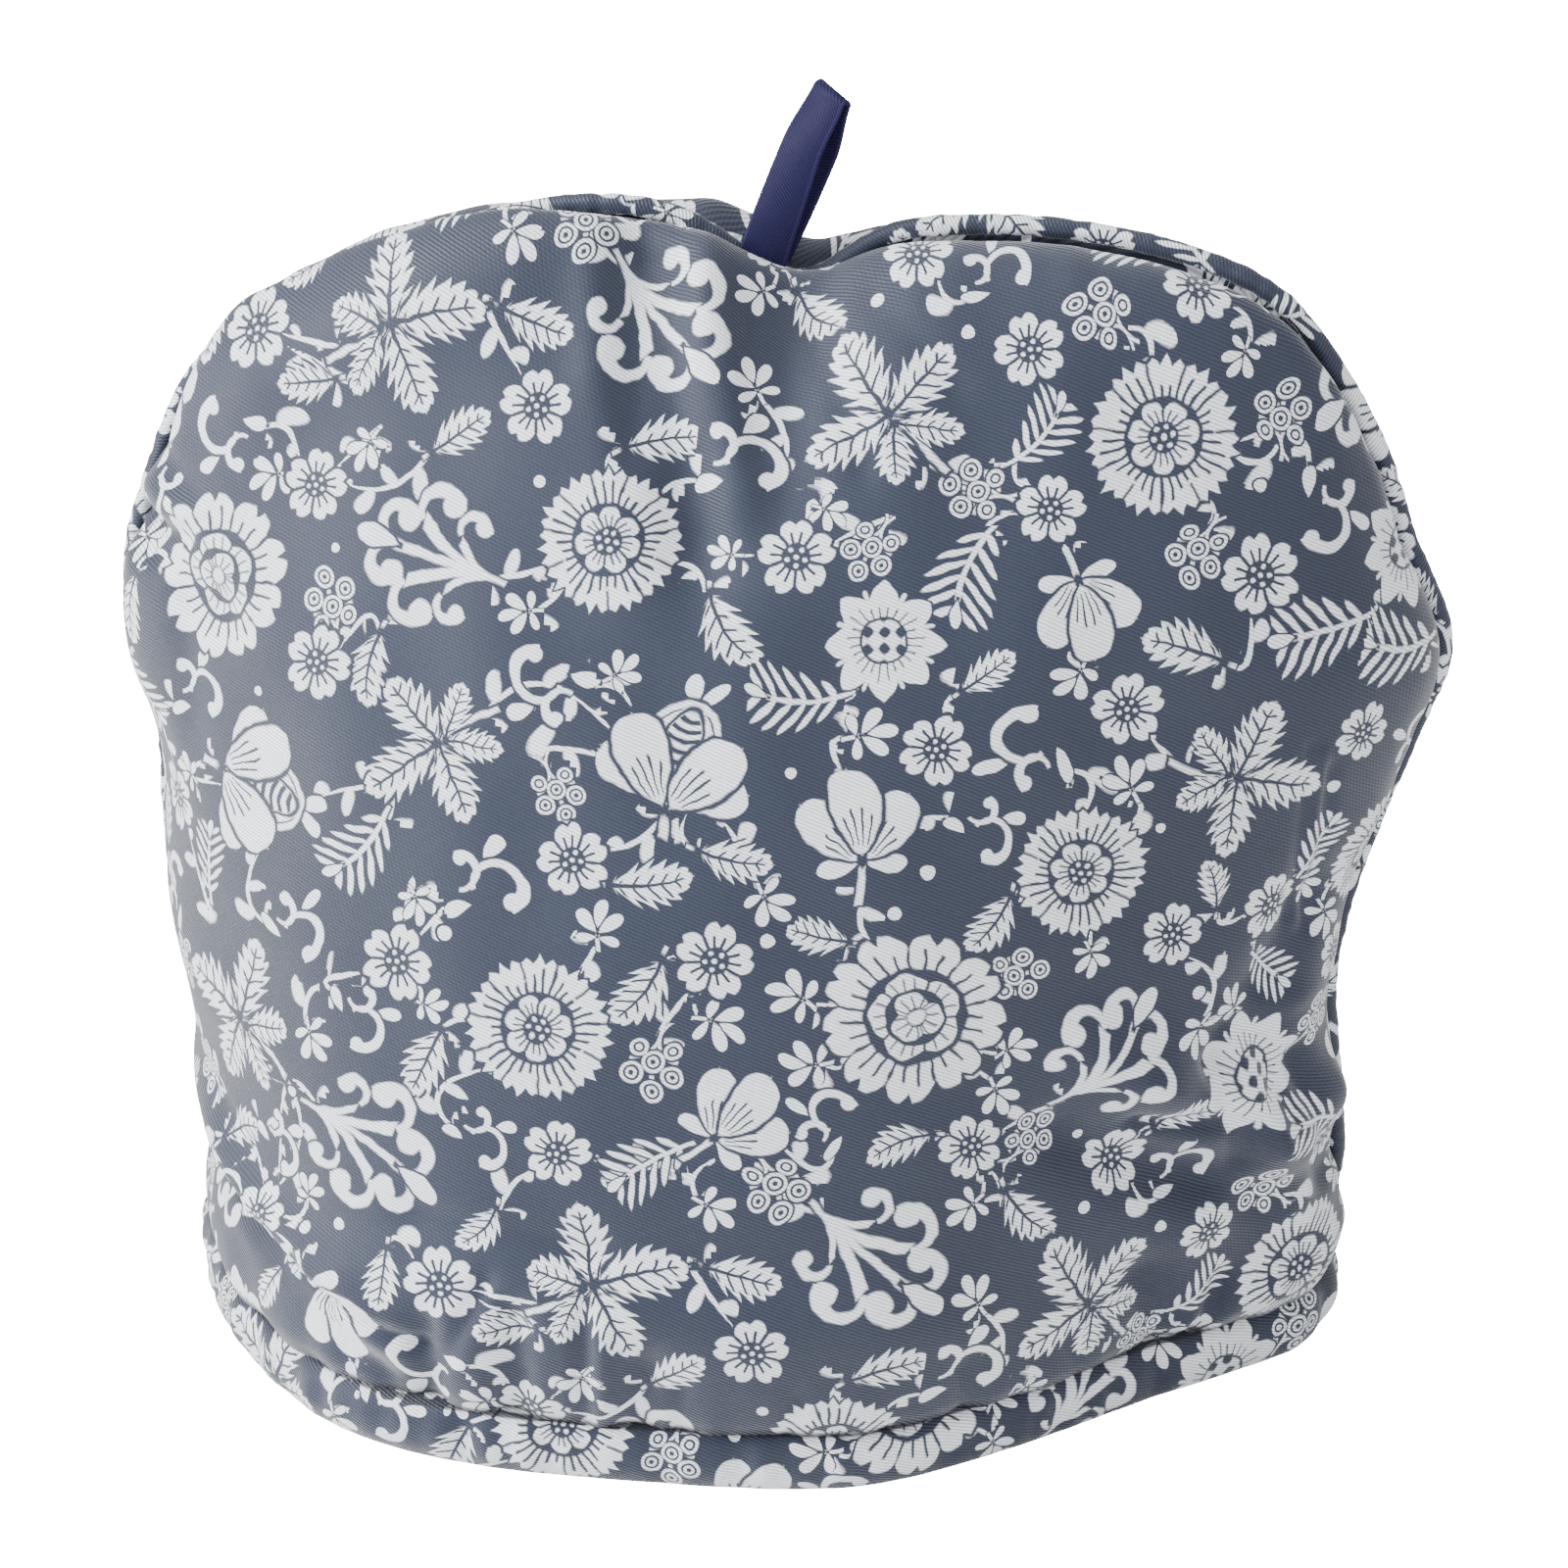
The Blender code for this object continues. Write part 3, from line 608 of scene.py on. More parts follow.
def print_layout():
    """Rows of kind, x, y, turn and radius for one repeat. Each motif takes the emptiest of some
    random places, far from its own kind. Then motifs that overlap push each other apart, the
    upper layer first and the lower one round it."""
    rng = np.random.default_rng(PRINT_SEED)
    rows = []
    for kind, _, count, smallest, largest, _, _ in MOTIFS:
        for radius in np.linspace(largest, smallest, count):
            at = rng.uniform(0.0, 1.0, (PLACES_TRIED, 2)) * REPEAT
            if rows:
                made = np.array(rows)
                apart = np.linalg.norm(wrapped(at[:, None] - made[None, :, 1:3]), axis=-1)
                empty = (apart - made[:, 4]).min(1)
                same = made[:, 0] == KINDS[kind]
                if same.any():
                    among = apart[:, same].min(1) * SPREAD_KIND
                    empty = np.minimum(empty * SPREAD_ALL, among)
                at = at[np.argmax(empty)][None]
            rows.append([KINDS[kind], *at[0], rng.uniform(-math.pi, math.pi), radius])
    rows = np.array(rows)
    kinds = rows[:, 0].astype(int)
    layer, size = LAYER[kinds], rows[:, 4] * ROOM[kinds]
    for level in (UPPER, LOWER):
        moving, others = np.flatnonzero(layer == level), np.flatnonzero(layer <= level)
        above = layer[others] < level
        kept = size[moving][:, None] * np.where(above, TUCKED, 1.0) + size[others] + MOTIF_GAP
        for _ in range(PUSHES):
            apart = wrapped(rows[moving, None, 1:3] - rows[None, others, 1:3])
            length = np.linalg.norm(apart, axis=-1)
            push = np.where(length > 1e-9, np.maximum(kept - length, 0.0), 0.0)
            push *= np.where(above, PUSH_ABOVE, PUSH_BESIDE)
            rows[moving, 1:3] += (push[..., None] * unit(apart)).sum(1)
    return rows


def stem_lines(layout):
    """Polylines of the stems: each leaves the foot of a motif that grows on one, and bends
    towards the nearest flower, preferably one that lies below the foot."""
    hosts = layout[np.isin(layout[:, 0], HOSTS)]
    lines = []
    t = spread(STEM_POINTS)[:, None]
    for kind, x, y, turn, radius in layout[np.isin(layout[:, 0], GROWING)]:
        down = np.array([math.sin(turn), -math.cos(turn)])
        start = np.array([x, y]) + down * radius * STEM_START
        offset = wrapped(hosts[:, 1:3] - start)
        apart = np.linalg.norm(offset, axis=-1) - hosts[:, 4]
        apart += STEM_UPWARD * (unit(offset) @ down < STEM_BELOW)
        apart[np.linalg.norm(wrapped(hosts[:, 1:3] - [x, y]), axis=-1) < SAME_PLACE] = 1.0
        nearest = int(np.argmin(apart))
        way = offset[nearest] - unit(offset[nearest]) * hosts[nearest, 4] * STEM_END
        reach = np.linalg.norm(way)
        longest = STEM_LONGEST[LAYER[int(kind)]] * radius
        way = way * min(1.0, longest / reach)
        reach = min(reach, longest)
        side = np.array([-down[1], down[0]]) * (1.0 if int(turn * 10 + kind) % 2 else -1.0)
        bend = start + down * reach * STEM_DOWN + side * reach * STEM_ASIDE
        lines.append((1 - t) ** 2 * start + 2 * t * (1 - t) * bend + t**2 * (start + way))
    return np.array(lines)


def in_motifs(centre, corners, level):
    """For each face of the cloth, its corners' places in the layer's nearest motif, with the
    motif's kind: x and y in radii, turned with it, and bent by an amount that follows from its
    turn. The kind is 0 outside."""
    rows = LAYOUT[LAYER[LAYOUT[:, 0].astype(int)] == level]
    best = np.full(len(centre), np.inf)
    chosen = np.zeros(len(centre), int)
    for n, row in enumerate(rows):
        beyond = np.linalg.norm(wrapped(centre - row[1:3]), axis=-1) - row[4] * ROOM[int(row[0])]
        closer = beyond < best
        best[closer] = beyond[closer]
        chosen[closer] = n
    kind, x, y, turn, radius = rows[chosen].T
    middle = wrapped(centre - np.stack([x, y], -1))
    place = (corners - centre[:, None] + middle[:, None]) / radius[:, None, None]
    cos, sin = np.cos(turn)[:, None], np.sin(turn)[:, None]
    across = cos * place[..., 0] + sin * place[..., 1]
    up = cos * place[..., 1] - sin * place[..., 0]
    across = across + BENT[level] * np.sin(turn * BEND_TIMES)[:, None] * (up * up - BEND_EVEN)
    near = np.linalg.norm(middle, axis=-1) < MOTIF_REACH * radius + FACE_REACH
    kind = np.broadcast_to(np.where(near, kind, 0.0)[:, None], across.shape)
    return np.stack([across, up, kind], -1)


def beside_line(place, line):
    """Signed distance of places from a polyline, to its left or right, distance along it, and
    whether they lie past its ends. The side is told by the line's direction at the nearest
    point, which turns evenly from one step's middle to the next."""
    start, step = line[:-1], np.diff(line, axis=0)
    length = np.linalg.norm(step, axis=-1)
    ahead = unit(step)
    ahead = unit(np.concatenate([ahead[:1], ahead]) + np.concatenate([ahead, ahead[-1:]]))
    offset = place[..., None, :] - start
    share = np.clip((offset * step).sum(-1) / length**2, 0.0, 1.0)
    offset = offset - share[..., None] * step
    apart = np.linalg.norm(offset, axis=-1)
    pick = np.argmin(apart, axis=-1)[..., None]
    tangent = ahead[:-1] + share[..., None] * (ahead[1:] - ahead[:-1])
    side = np.sign(offset[..., 0] * tangent[..., 1] - offset[..., 1] * tangent[..., 0])
    total = lengths_along(line)
    along = np.take_along_axis(total[:-1] + share * length, pick, -1)[..., 0]
    past = (along <= 0.0) | (along >= total[-1])
    return np.take_along_axis(apart * side, pick, -1)[..., 0], along, past


def beside_stems(centre, corners):
    """For each face, its corners' signed distance from the nearest stem and their distance
    along it, in metres, and how much room the next stem leaves there, 0 far from any stem. A
    face that the stem doesn't pass keeps to one side of it, so that no false line shows."""
    best = np.full(len(centre), STEM_REACH)
    second = np.full(len(centre), STEM_REACH)
    bent = np.zeros(len(centre), bool)
    made = np.zeros((*corners.shape[:2], 3))
    for line in STEMS:
        middle = line[STEM_POINTS // 2]
        near = wrapped(centre - middle)
        reach = np.abs(line - middle).max() + STEM_REACH
        faces = np.flatnonzero((np.abs(near) < reach).all(-1))
        off, _, past = beside_line(near[faces] + middle, line)
        apart = np.where(past, STEM_REACH, np.abs(off))
        closer = (apart < best[faces]) & (best[faces] > STEM_CLEAR)
        second[faces] = np.where(closer, best[faces], np.minimum(second[faces], apart))
        faces, apart = faces[closer], apart[closer]
        best[faces] = apart
        place = corners[faces] - centre[faces][:, None] + (near[faces] + middle)[:, None]
        off, along, _ = beside_line(place, line)
        beside = np.abs(off).min(1, keepdims=True) > FACE_REACH
        off = np.where(beside, np.abs(off) * np.sign(off[:, :1]), off)
        left = lengths_along(line)[-1] - along
        made[faces, :, 0] = off / np.clip(left / STEM_TAPER, STEM_TIP, 1.0)
        made[faces, :, 1] = along
        bent[faces] = np.ptp(along, axis=1) > STEM_JUMP
    room = np.where(bent, 0.0, (second - best) / STEM_ROOM)
    room = np.clip(room, LEAST_ROOM, 1.0) * (best < STEM_REACH)
    made[..., 2] = room[:, None]
    return made


def grid_faces(across, up, loop_across=False, loop_up=False):
    index = np.arange(across * up).reshape(across, up)
    if loop_across:
        index = np.concatenate([index, index[:1]])
    if loop_up:
        index = np.concatenate([index, index[:, :1]], axis=1)
    corners = (index[:-1, :-1], index[1:, :-1], index[1:, 1:], index[:-1, 1:])
    return np.stack(corners, -1).reshape(-1, 4)


def share_of(level, kinds):
    """The number of the share of the drawings that each kind belongs to."""
    numbers = np.zeros(len(KINDS) + 1, int)
    for number, names in enumerate(SHARES[level]):
        for name in names:
            numbers[KINDS[name]] = number
    return numbers[kinds.astype(int)]


def store(mesh, label, domain, values):
    """Stores an attribute of numbers, or of vectors where values' last axis is 3 long."""
    kind, field = ("FLOAT_VECTOR", "vector") if values.shape[-1] == 3 else ("FLOAT", "value")
    mesh.attributes.new(label, kind, domain).data.foreach_set(field, values.reshape(-1))


def cloth_piece(
    name, points, flat, materials, flip=False, loops=(False, False), print_at=None, painted_seam_shade=1.0
):
    """A mesh over points [u][v]. flat holds the same grid's places on the flat cloth, with one
    more row or column where the grid closes on itself. With print_at, an offset and a turn,
    the print's attributes are stored too, and each face takes the material of its drawings.
    Its last argument is each point's distance from the hem's seam line, along which a thin line of
    painted shade is drawn, or 1 m where there is none."""
    across, up = points.shape[:2]
    faces = grid_faces(across, up, *loops)
    rows = grid_faces(flat.shape[0], flat.shape[1])
    if flip:
        faces, rows = faces[:, ::-1], rows[:, ::-1]
    mesh = bpy.data.meshes.new(name)
    mesh.from_pydata(points.reshape(-1, 3).tolist(), [], faces.tolist())
    mesh.shade_smooth()
    corners = flat.reshape(-1, 2)[rows]
    for material in materials:
        mesh.materials.append(material)
    if print_at is not None:
        offset, turn = print_at
        cos, sin = math.cos(turn), math.sin(turn)
        corners = corners @ np.array([[cos, sin], [-sin, cos]]) + np.array(offset)
        centre = corners.mean(1)
        upper, lower = in_motifs(centre, corners, UPPER), in_motifs(centre, corners, LOWER)
        store(mesh, "upper", "CORNER", upper)
        store(mesh, "lower", "CORNER", lower)
        store(mesh, "stem", "CORNER", beside_stems(centre, corners))
        # The distance from the hem's seam, from which the material paints a thin line of shade.
        store(mesh, "painted_seam_shade", "POINT", np.ones(points.shape[:2]) * painted_seam_shade)
        number = share_of(UPPER, upper[:, 0, 2]) * len(SHARES[LOWER])
        number += share_of(LOWER, lower[:, 0, 2])
        mesh.polygons.foreach_set("material_index", number)
    layer = mesh.uv_layers.new(name="cloth")
    layer.data.foreach_set("uv", corners.reshape(-1))
    made = bpy.data.objects.new(name, mesh)
    bpy.context.scene.collection.objects.link(made)
    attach(made, "root")
    return made


LAYOUT = print_layout()
STEMS = stem_lines(LAYOUT)

# ---------------------------------------------------------------- shader arithmetic


class Field:
    """A number that varies over a surface: arithmetic on it adds Math nodes to its tree."""

    def __init__(self, tree, socket):
        self.tree = tree
        self.socket = socket

    def math(self, operation, *others, first=None):
        node = self.tree.nodes.new("ShaderNodeMath")
        node.operation = operation
        given = (self, *others) if first is None else (first, self, *others)
        for slot, value in zip(node.inputs, given):
            if isinstance(value, Field):
                self.tree.links.new(value.socket, slot)
            else:
                slot.default_value = value
        return Field(self.tree, node.outputs[0])

    def __add__(self, other):
        return self.math("ADD", other)

    __radd__ = __add__

    def __sub__(self, other):
        return self.math("SUBTRACT", other)

    def __rsub__(self, other):
        return self.math("SUBTRACT", first=other)

    def __mul__(self, other):
        return self.math("MULTIPLY", other)

    __rmul__ = __mul__

    def __truediv__(self, other):
        return self.math("DIVIDE", other)

    def __pow__(self, other):
        return self.math("POWER", other)

    def __abs__(self):
        return self.math("ABSOLUTE")

    def sin(self):
        return self.math("SINE")

    def cos(self):
        return self.math("COSINE")

    def root(self):
        return self.math("SQRT")

    def part(self):
        """What is left past the last whole number."""
        return self.math("FLOORED_MODULO", 1.0)

    def least(self, other):
        return self.math("MINIMUM", other)

    def most(self, other):
        return self.math("MAXIMUM", other)

    def soft(self, width=0.03):
        """1 where the field is above 0 and 0 where it is below, over this width."""
        made = self.math("MULTIPLY_ADD", 1.0 / width, 0.5)
        made.socket.node.use_clamp = True
        return made

    def between(self, low, high, width=0.03):
        return (self - low).soft(width) * (high - self).soft(width)


def long(x, y):
    """The length of (x, y)."""
    return (x * x + y * y).root()


def group(name, sockets_in, sockets_out):
    """A new shader node group, with each input as a Field and a call that sets the outputs."""
    tree = bpy.data.node_groups.new(name, "ShaderNodeTree")
    for label, kind in sockets_in:
        tree.interface.new_socket(label, in_out="INPUT", socket_type=kind)
    for label, kind in sockets_out:
        tree.interface.new_socket(label, in_out="OUTPUT", socket_type=kind)
    source = tree.nodes.new("NodeGroupInput")
    result = tree.nodes.new("NodeGroupOutput")
    fields = {label: Field(tree, source.outputs[label]) for label, _ in sockets_in}

    def give(label, field):
        tree.links.new(field.socket, result.inputs[label])

    return tree, fields, give


def use(tree, shared, inputs, output):
    """A shared group used inside a tree."""
    node = tree.nodes.new("ShaderNodeGroup")
    node.node_tree = shared
    for label, value in inputs.items():
        if isinstance(value, Field):
            tree.links.new(value.socket, node.inputs[label])
        else:
            node.inputs[label].default_value = value
    return Field(tree, node.outputs[output])


NUMBER, VECTOR = "NodeSocketFloat", "NodeSocketVector"
FULL_TURN = 2 * math.pi


def motif_group(draw):
    """The node group of one drawing: x and y in radii in, its ink and its cover out."""
    tree, field, give = group(
        "print_" + draw.__name__, (("X", NUMBER), ("Y", NUMBER)), (("Ink", NUMBER), ("Cover", NUMBER))
    )
    ink, cover = draw(field["X"], field["Y"])
    give("Ink", ink)
    give("Cover", cover)
    return tree


def drawn(name, x, y):
    """A shared drawing at x and y: its ink, and what it covers of the drawings under it."""
    inputs = {"X": x, "Y": y}
    node = use(x.tree, GROUPS[name], inputs, "Ink").socket.node
    return Field(x.tree, node.outputs["Ink"]), Field(x.tree, node.outputs["Cover"])


def round_and_about(x, y):
    """Distance from the middle, and the turn about it from 0 to 1."""
    return long(x, y), y.math("ARCTAN2", x) / FULL_TURN + 0.5


def petal_share(about, count, shift=0.0):
    """-1 to 1 across each of so many petals, 0 along its middle."""
    return (about * count + shift).part() * 2.0 - 1.0


def inked(shape, rim=0.07, dark=None):
    """The ink of a shape that is above 0 inside, less its dark lines, and what it covers: the
    shape grown by a rim of bare cloth."""
    ink = shape.soft()
    if dark is not None:
        ink = ink * (1.0 - dark)
    return ink, (shape + rim).soft()


def over(*layers):
    """Drawings laid over one another, the first on top."""
    ink, cover = layers[0]
    for lower_ink, lower_cover in layers[1:]:
        ink = ink.most(lower_ink * (1.0 - cover))
        cover = cover.most(lower_cover)
    return ink, cover


def line(off, half, width=0.02):
    """A dark line of this half width along off = 0."""
    return (half - abs(off)).soft(width)


def ray(about, r, count, shift=0.0):
    """Distance from the nearest of so many rays out of the middle."""
    return abs(petal_share(about, count, shift)) * r * (math.pi / count)


def slits(about, r, count, half, out, shift=0.5):
    """Dark lines of this half width along so many rays, as far out as this."""
    return line(ray(about, r, count, shift), half) * (out - r).soft()


def ripple(about, out, height, count):
    """A radius that rises and falls so many times round the middle."""
    return out + height * (about * (count * FULL_TURN)).sin()


def gap_beside(petal, r, count, bare):
    """How far inside the bare gap between two of so many petals."""
    return (1.0 - petal) * r * (math.pi / count) - bare


def rosette(x, y):
    """Toothed petals round a dark ring that is slit into them, then a small flower with a
    dotted eye."""
    r, about = round_and_about(x, y)
    petal = abs(petal_share(about, 11))
    tooth = abs(petal_share(about, 33))
    edge = 0.99 - 0.07 * petal - 0.13 * tooth * (1.25 - petal)
    gap = gap_beside(petal, r, 11, 0.020)
    petals = (edge - r).least(gap.most(0.66 - r)).least(r - 0.50)
    dark = slits(about, r, 33, 0.021, ripple(about, 0.72, 0.10, 5))
    small = abs(petal_share(about, 7, 0.3))
    inner = (0.44 - 0.13 * small**3.0 - r).least(gap_beside(small, r, 7, 0.012))
    inner = inner.least(r - 0.20)
    cuts = slits(about, r, 21, 0.014, 0.34, 0.3)
    dots = (0.032 - long(r - 0.125, ray(about, r, 6))).most(0.035 - r)
    ink = petals.soft() * (1.0 - dark)
    ink = ink.most(inner.soft() * (1.0 - cuts)).most(dots.soft(0.02))
    return ink, (edge + 0.06 - r).soft()


def peony(x, y):
    """Notched round petals, slit at their feet, round nested scallops."""
    r, about = round_and_about(x, y)
    petal = abs(petal_share(about, 9))
    edge = 0.98 - 0.20 * petal**3.5 - 0.11 * (1.0 - petal * 5.0).most(0.0)
    gap = gap_beside(petal, r, 9, 0.015)
    petals = (edge - r).least(gap.most(0.66 - r)).least(r - 0.56)
    ink = petals.soft() * (1.0 - slits(about, r, 27, 0.018, ripple(about, 0.77, 0.05, 7)))
    for count, radius, shift in ((5, 0.50, 0.2), (3, 0.29, 0.65)):
        scallop = abs(petal_share(about, count, shift))
        rim = radius - 0.10 * scallop**2.0
        ring = (rim - r).least(gap_beside(scallop, r, count, 0.010))
        ring = ring.least(r - radius + 0.17)
        cuts = slits(about, r, count * 4, 0.011, radius - 0.04, shift)
        ink = ink.most(ring.soft(0.02) * (1.0 - cuts))
    ink = ink.most((0.085 - long(x * 0.8, y)).soft())
    return ink, (edge + 0.06 - r).soft()


def aster(x, y):
    """Long pointed petals of two lengths, streaked, round a netted eye."""
    r, about = round_and_about(x, y)
    petal = abs(petal_share(about, 8))
    edge = 0.99 - 0.34 * petal**1.3
    gap = gap_beside(petal, r, 8, 0.014)
    petals = (edge - r).least(gap.most(0.50 - r)).least(r - 0.40)
    behind = abs(petal_share(about, 8, 0.5))
    lower = (0.86 - 0.30 * behind - r).least(r - 0.55).least(gap * -1.0 + 0.02)
    streaks = slits(about, r, 24, 0.013, ripple(about, 0.62, 0.06, 3))
    net = (x * 15.0 + y * 6.0).sin() * (y * 15.0 - x * 6.0).sin()
    eye = (0.35 - r).soft() * (net + 0.15).soft(0.4)
    ink = petals.soft() * (1.0 - streaks)
    return ink.most(lower.soft()).most(eye), (edge.most(0.80) + 0.05 - r).soft()


def blossom(x, y):
    """Five notched petals, slit at their feet, round a dark eye with light dots."""
    r, about = round_and_about(x, y)
    petal = abs(petal_share(about, 5))
    edge = 0.98 - 0.36 * petal**3.2 - 0.13 * (1.0 - petal * 4.5).most(0.0)
    petals = (edge - r).least(gap_beside(petal, r, 5, 0.045)).least(r - 0.37)
    dark = slits(about, r, 15, 0.036, 0.66)
    dots = (0.062 - long(r - 0.23, ray(about, r, 5, 0.5))).most(0.065 - r)
    return (petals.soft(0.05) * (1.0 - dark)).most(dots.soft(0.03)), (edge + 0.12 - r).soft()


def leaf_shape(x, y):
    """One toothed leaf from (0, 0) to (0, 1), with a dark midrib and slanting cuts, longer on
    one side."""
    along = y.most(0.0).least(1.0)
    wide = 0.74 * (along**0.72) * ((1.0 - along) ** 0.62)
    side = abs(x)
    teeth = (y * 5.6 - side * 3.2).part()
    edge = wide * (0.60 + 0.52 * teeth)
    shape = (edge - side).least(y * 0.5).least(0.5 - y * 0.5)
    midrib = (0.030 - 0.018 * y - side).soft(0.015) * (0.90 - y).soft()
    reach = wide * (0.45 + 0.30 * x.math("GREATER_THAN", 0.0)) - side
    cuts = line((y * 5.6 - side * 4.6).part() - 0.35, 0.110, 0.08) * reach.soft()
    return inked(shape, 0.06, midrib.most(cuts * y.between(0.08, 0.86)))


def turned(x, y, degrees, at=(0.0, 0.0), size=1.0):
    """x and y seen from a place, turned anticlockwise and in units of size."""
    cos, sin = math.cos(math.radians(degrees)) / size, math.sin(math.radians(degrees)) / size
    across = y.math("MULTIPLY_ADD", sin, -at[0] * cos - at[1] * sin)
    up = x.math("MULTIPLY_ADD", -sin, at[0] * sin - at[1] * cos)
    return x.math("MULTIPLY_ADD", cos, across), y.math("MULTIPLY_ADD", cos, up)


def stalk(x, y, half, low, high):
    return inked((half - abs(x)).least(y - low).least(high - y), 0.05)


def leaf(x, y):
    """A single toothed leaf on a short stalk."""
    blade = drawn("leaf_shape", *turned(x, y, 0, (0, -0.70), 1.66))
    return over(blade, stalk(x, y, 0.05, -1.05, -0.60))


def trefoil(x, y):
    """Three toothed leaves on a stalk, the side ones mirrored."""
    top = drawn("leaf_shape", *turned(x, y, 0, (0, -0.08), 1.06))
    sides = drawn("leaf_shape", *turned(abs(x), y, -80, (0.02, -0.16), 0.98))
    low = drawn("leaf_shape", *turned(abs(x), y, -140, (0.03, -0.30), 0.68))
    bend = x + 0.05 * (y * 3.0).sin()
    return over(top, sides, low, stalk(bend, y, 0.035, -1.05, 0.0))


def curl(x, y, at, radius, thick, turn, sweep):
    """A comma: a ball at the angle turn on a circle, with a tail that runs anticlockwise
    through sweep degrees and grows thinner."""
    dx, dy = turned(x, y, turn, at)
    ahead = (dy.math("ARCTAN2", dx) / FULL_TURN + 0.04).part() * (360.0 / sweep)
    tail = thick * (1.25 - 0.85 * ahead) - abs(long(dx, dy) - radius)
    tail = tail.least(2.0 - ahead * 2.0)
    ball = thick * 1.60 - long(dx - (radius - thick * 0.45), dy)
    return tail.most(ball)


def bent_tail(side, y, bend, top, half):
    """A tail that bends outwards as it rises from the foot of the stalk."""
    rise = y + 0.92
    return (half * (rise * 1.1 + 0.35) - abs(side - rise * rise * bend)).least(rise).least(top - y)


def fountain(x, y):
    """Commas that rise from a stalk and fall to both sides, with a petal in the middle."""
    side = abs(x)
    commas = (
        ((0.25, 0.50), 0.20, 0.092, -55, 235),
        ((0.56, 0.03), 0.235, 0.090, -60, 215),
        ((0.47, -0.47), 0.165, 0.066, -65, 205),
    )
    shape = None
    for at, radius, thick, turn, sweep in commas:
        made = curl(side, y, at, radius, thick, turn, sweep)
        shape = made if shape is None else shape.most(made)
    shape = shape.most(bent_tail(side, y, 0.32, 0.16, 0.062))
    shape = shape.most(bent_tail(side, y, 0.95, -0.36, 0.060))
    stem = (0.050 + 0.02 * y - side).least(y + 1.05).least(0.46 - y)
    tip = drawn("drop", *turned(x, y, 0, (0, 0.42), 0.56))
    return over(tip, inked(shape.most(stem), 0.04))


def scroll(x, y):
    """One long comma with a shorter one behind it and two small leaves."""
    first = curl(x, y, (0.08, 0.22), 0.46, 0.105, 20, 250)
    second = curl(x * -1.0, y, (0.42, -0.30), 0.30, 0.085, 15, 215)
    leaf_a = drawn("drop", *turned(x, y, 38, (-0.46, 0.20), 0.62))
    leaf_b = drawn("drop", *turned(x, y, 155, (0.20, -0.40), 0.60))
    return over(inked(first.most(second), 0.06), leaf_a, leaf_b)


def drop(x, y):
    """A plain pointed petal from (0, 0) to (0, 1)."""
    along = y.most(0.0).least(1.0)
    wide = 0.58 * (along**0.9) * ((1.0 - along) ** 0.5)
    return inked((wide - abs(x)).least(y * 0.5).least(0.5 - y * 0.5), 0.07)


def bud(x, y):
    """A round fruit with barred flesh between two lips, in a cup of streaked sepals."""
    side = abs(x)
    r = long(x * 1.12, y - 0.14)
    lens = long(x, (y - 0.14) * 0.52)
    bars = (0.24 - abs((y * 7.5 + (x * 8.0).cos() * 0.5).part() - 0.5)).soft(0.12)
    dark = line(lens - 0.215, 0.020).most((0.195 - lens).soft(0.02) * bars)
    dark = dark.most(line(r - 0.41, 0.014) * (lens - 0.24).soft())
    fruit = inked(0.50 - r, 0.05, dark)
    crown = drawn("drop", *turned(side, y, -28, (0.02, 0.58), 0.42))
    cup = drawn("petal", *turned(side, y, -34, (0.06, -0.66), 1.10))
    lip = drawn("petal", *turned(side, y, -72, (0.10, -0.52), 0.86))
    return over(cup, fruit, crown, lip, stalk(x, y, 0.05, -1.05, -0.50))


def petal(x, y):
    """A broad petal from (0, 0) to (0, 1) with dark streaks at its foot."""
    along = y.most(0.0).least(1.0)
    wide = 0.62 * (along**0.75) * ((1.0 - along) ** 0.42)
    fan = abs((x / (y + 0.22)) * 6.0)
    streaks = line(fan.part() - 0.5, 0.13, 0.10) * y.between(0.10, 0.60 - 0.10 * fan)
    return inked(
        (wide - abs(x)).least(y * 0.5).least(0.5 - y * 0.5), 0.06, streaks * (1.9 - fan).soft()
    )


def tulip(x, y):
    """A flower from the side: streaked petals that part over a toothed calyx."""
    side = abs(x)
    middle = drawn("petal", *turned(x, y, 0, (0, -0.30), 1.26))
    wings = drawn("petal", *turned(side, y, -40, (0.04, -0.38), 1.14))
    low = drawn("drop", *turned(side, y, -98, (0.04, -0.42), 0.62))
    return over(middle, wings, low, stalk(x, y, 0.05, -1.05, -0.30))


def spray(x, y):
    """A frond: a stalk with pointed leaflets in pairs that shorten to its tip."""
    side = abs(x)
    phase = y * 3.7 - side * 2.7 + 0.2
    step = phase.part()
    foot = (phase - step + 0.3) / 3.7
    reach = (0.66 * (1.0 - abs(foot * 0.92) ** 2.2)).most(0.05)
    share = (side / reach).least(1.0)
    fat = 0.62 * (share**0.6) * ((1.0 - share) ** 0.55)
    leaflets = ((fat - abs(step - 0.5)) * 0.27).least(0.88 - y).least(y + 0.80)
    leaflets = leaflets.least((reach - side) * 0.5)
    stem = (0.045 - side).least(y + 1.05).least(0.70 - y)
    tip = drawn("drop", *turned(x, y, 0, (0, 0.52), 0.46))
    return over(tip, inked(leaflets.most(stem), 0.05))


def sprig(x, y):
    """Five small petals in a fan on a stalk."""
    top = drawn("drop", *turned(x, y, 0, (0, -0.10), 1.08))
    sides = drawn("drop", *turned(abs(x), y, -46, (0.05, -0.30), 1.10))
    low = drawn("drop", *turned(abs(x), y, -100, (0.05, -0.50), 0.80))
    return over(top, sides, low, stalk(x, y, 0.075, -1.05, 0.0))


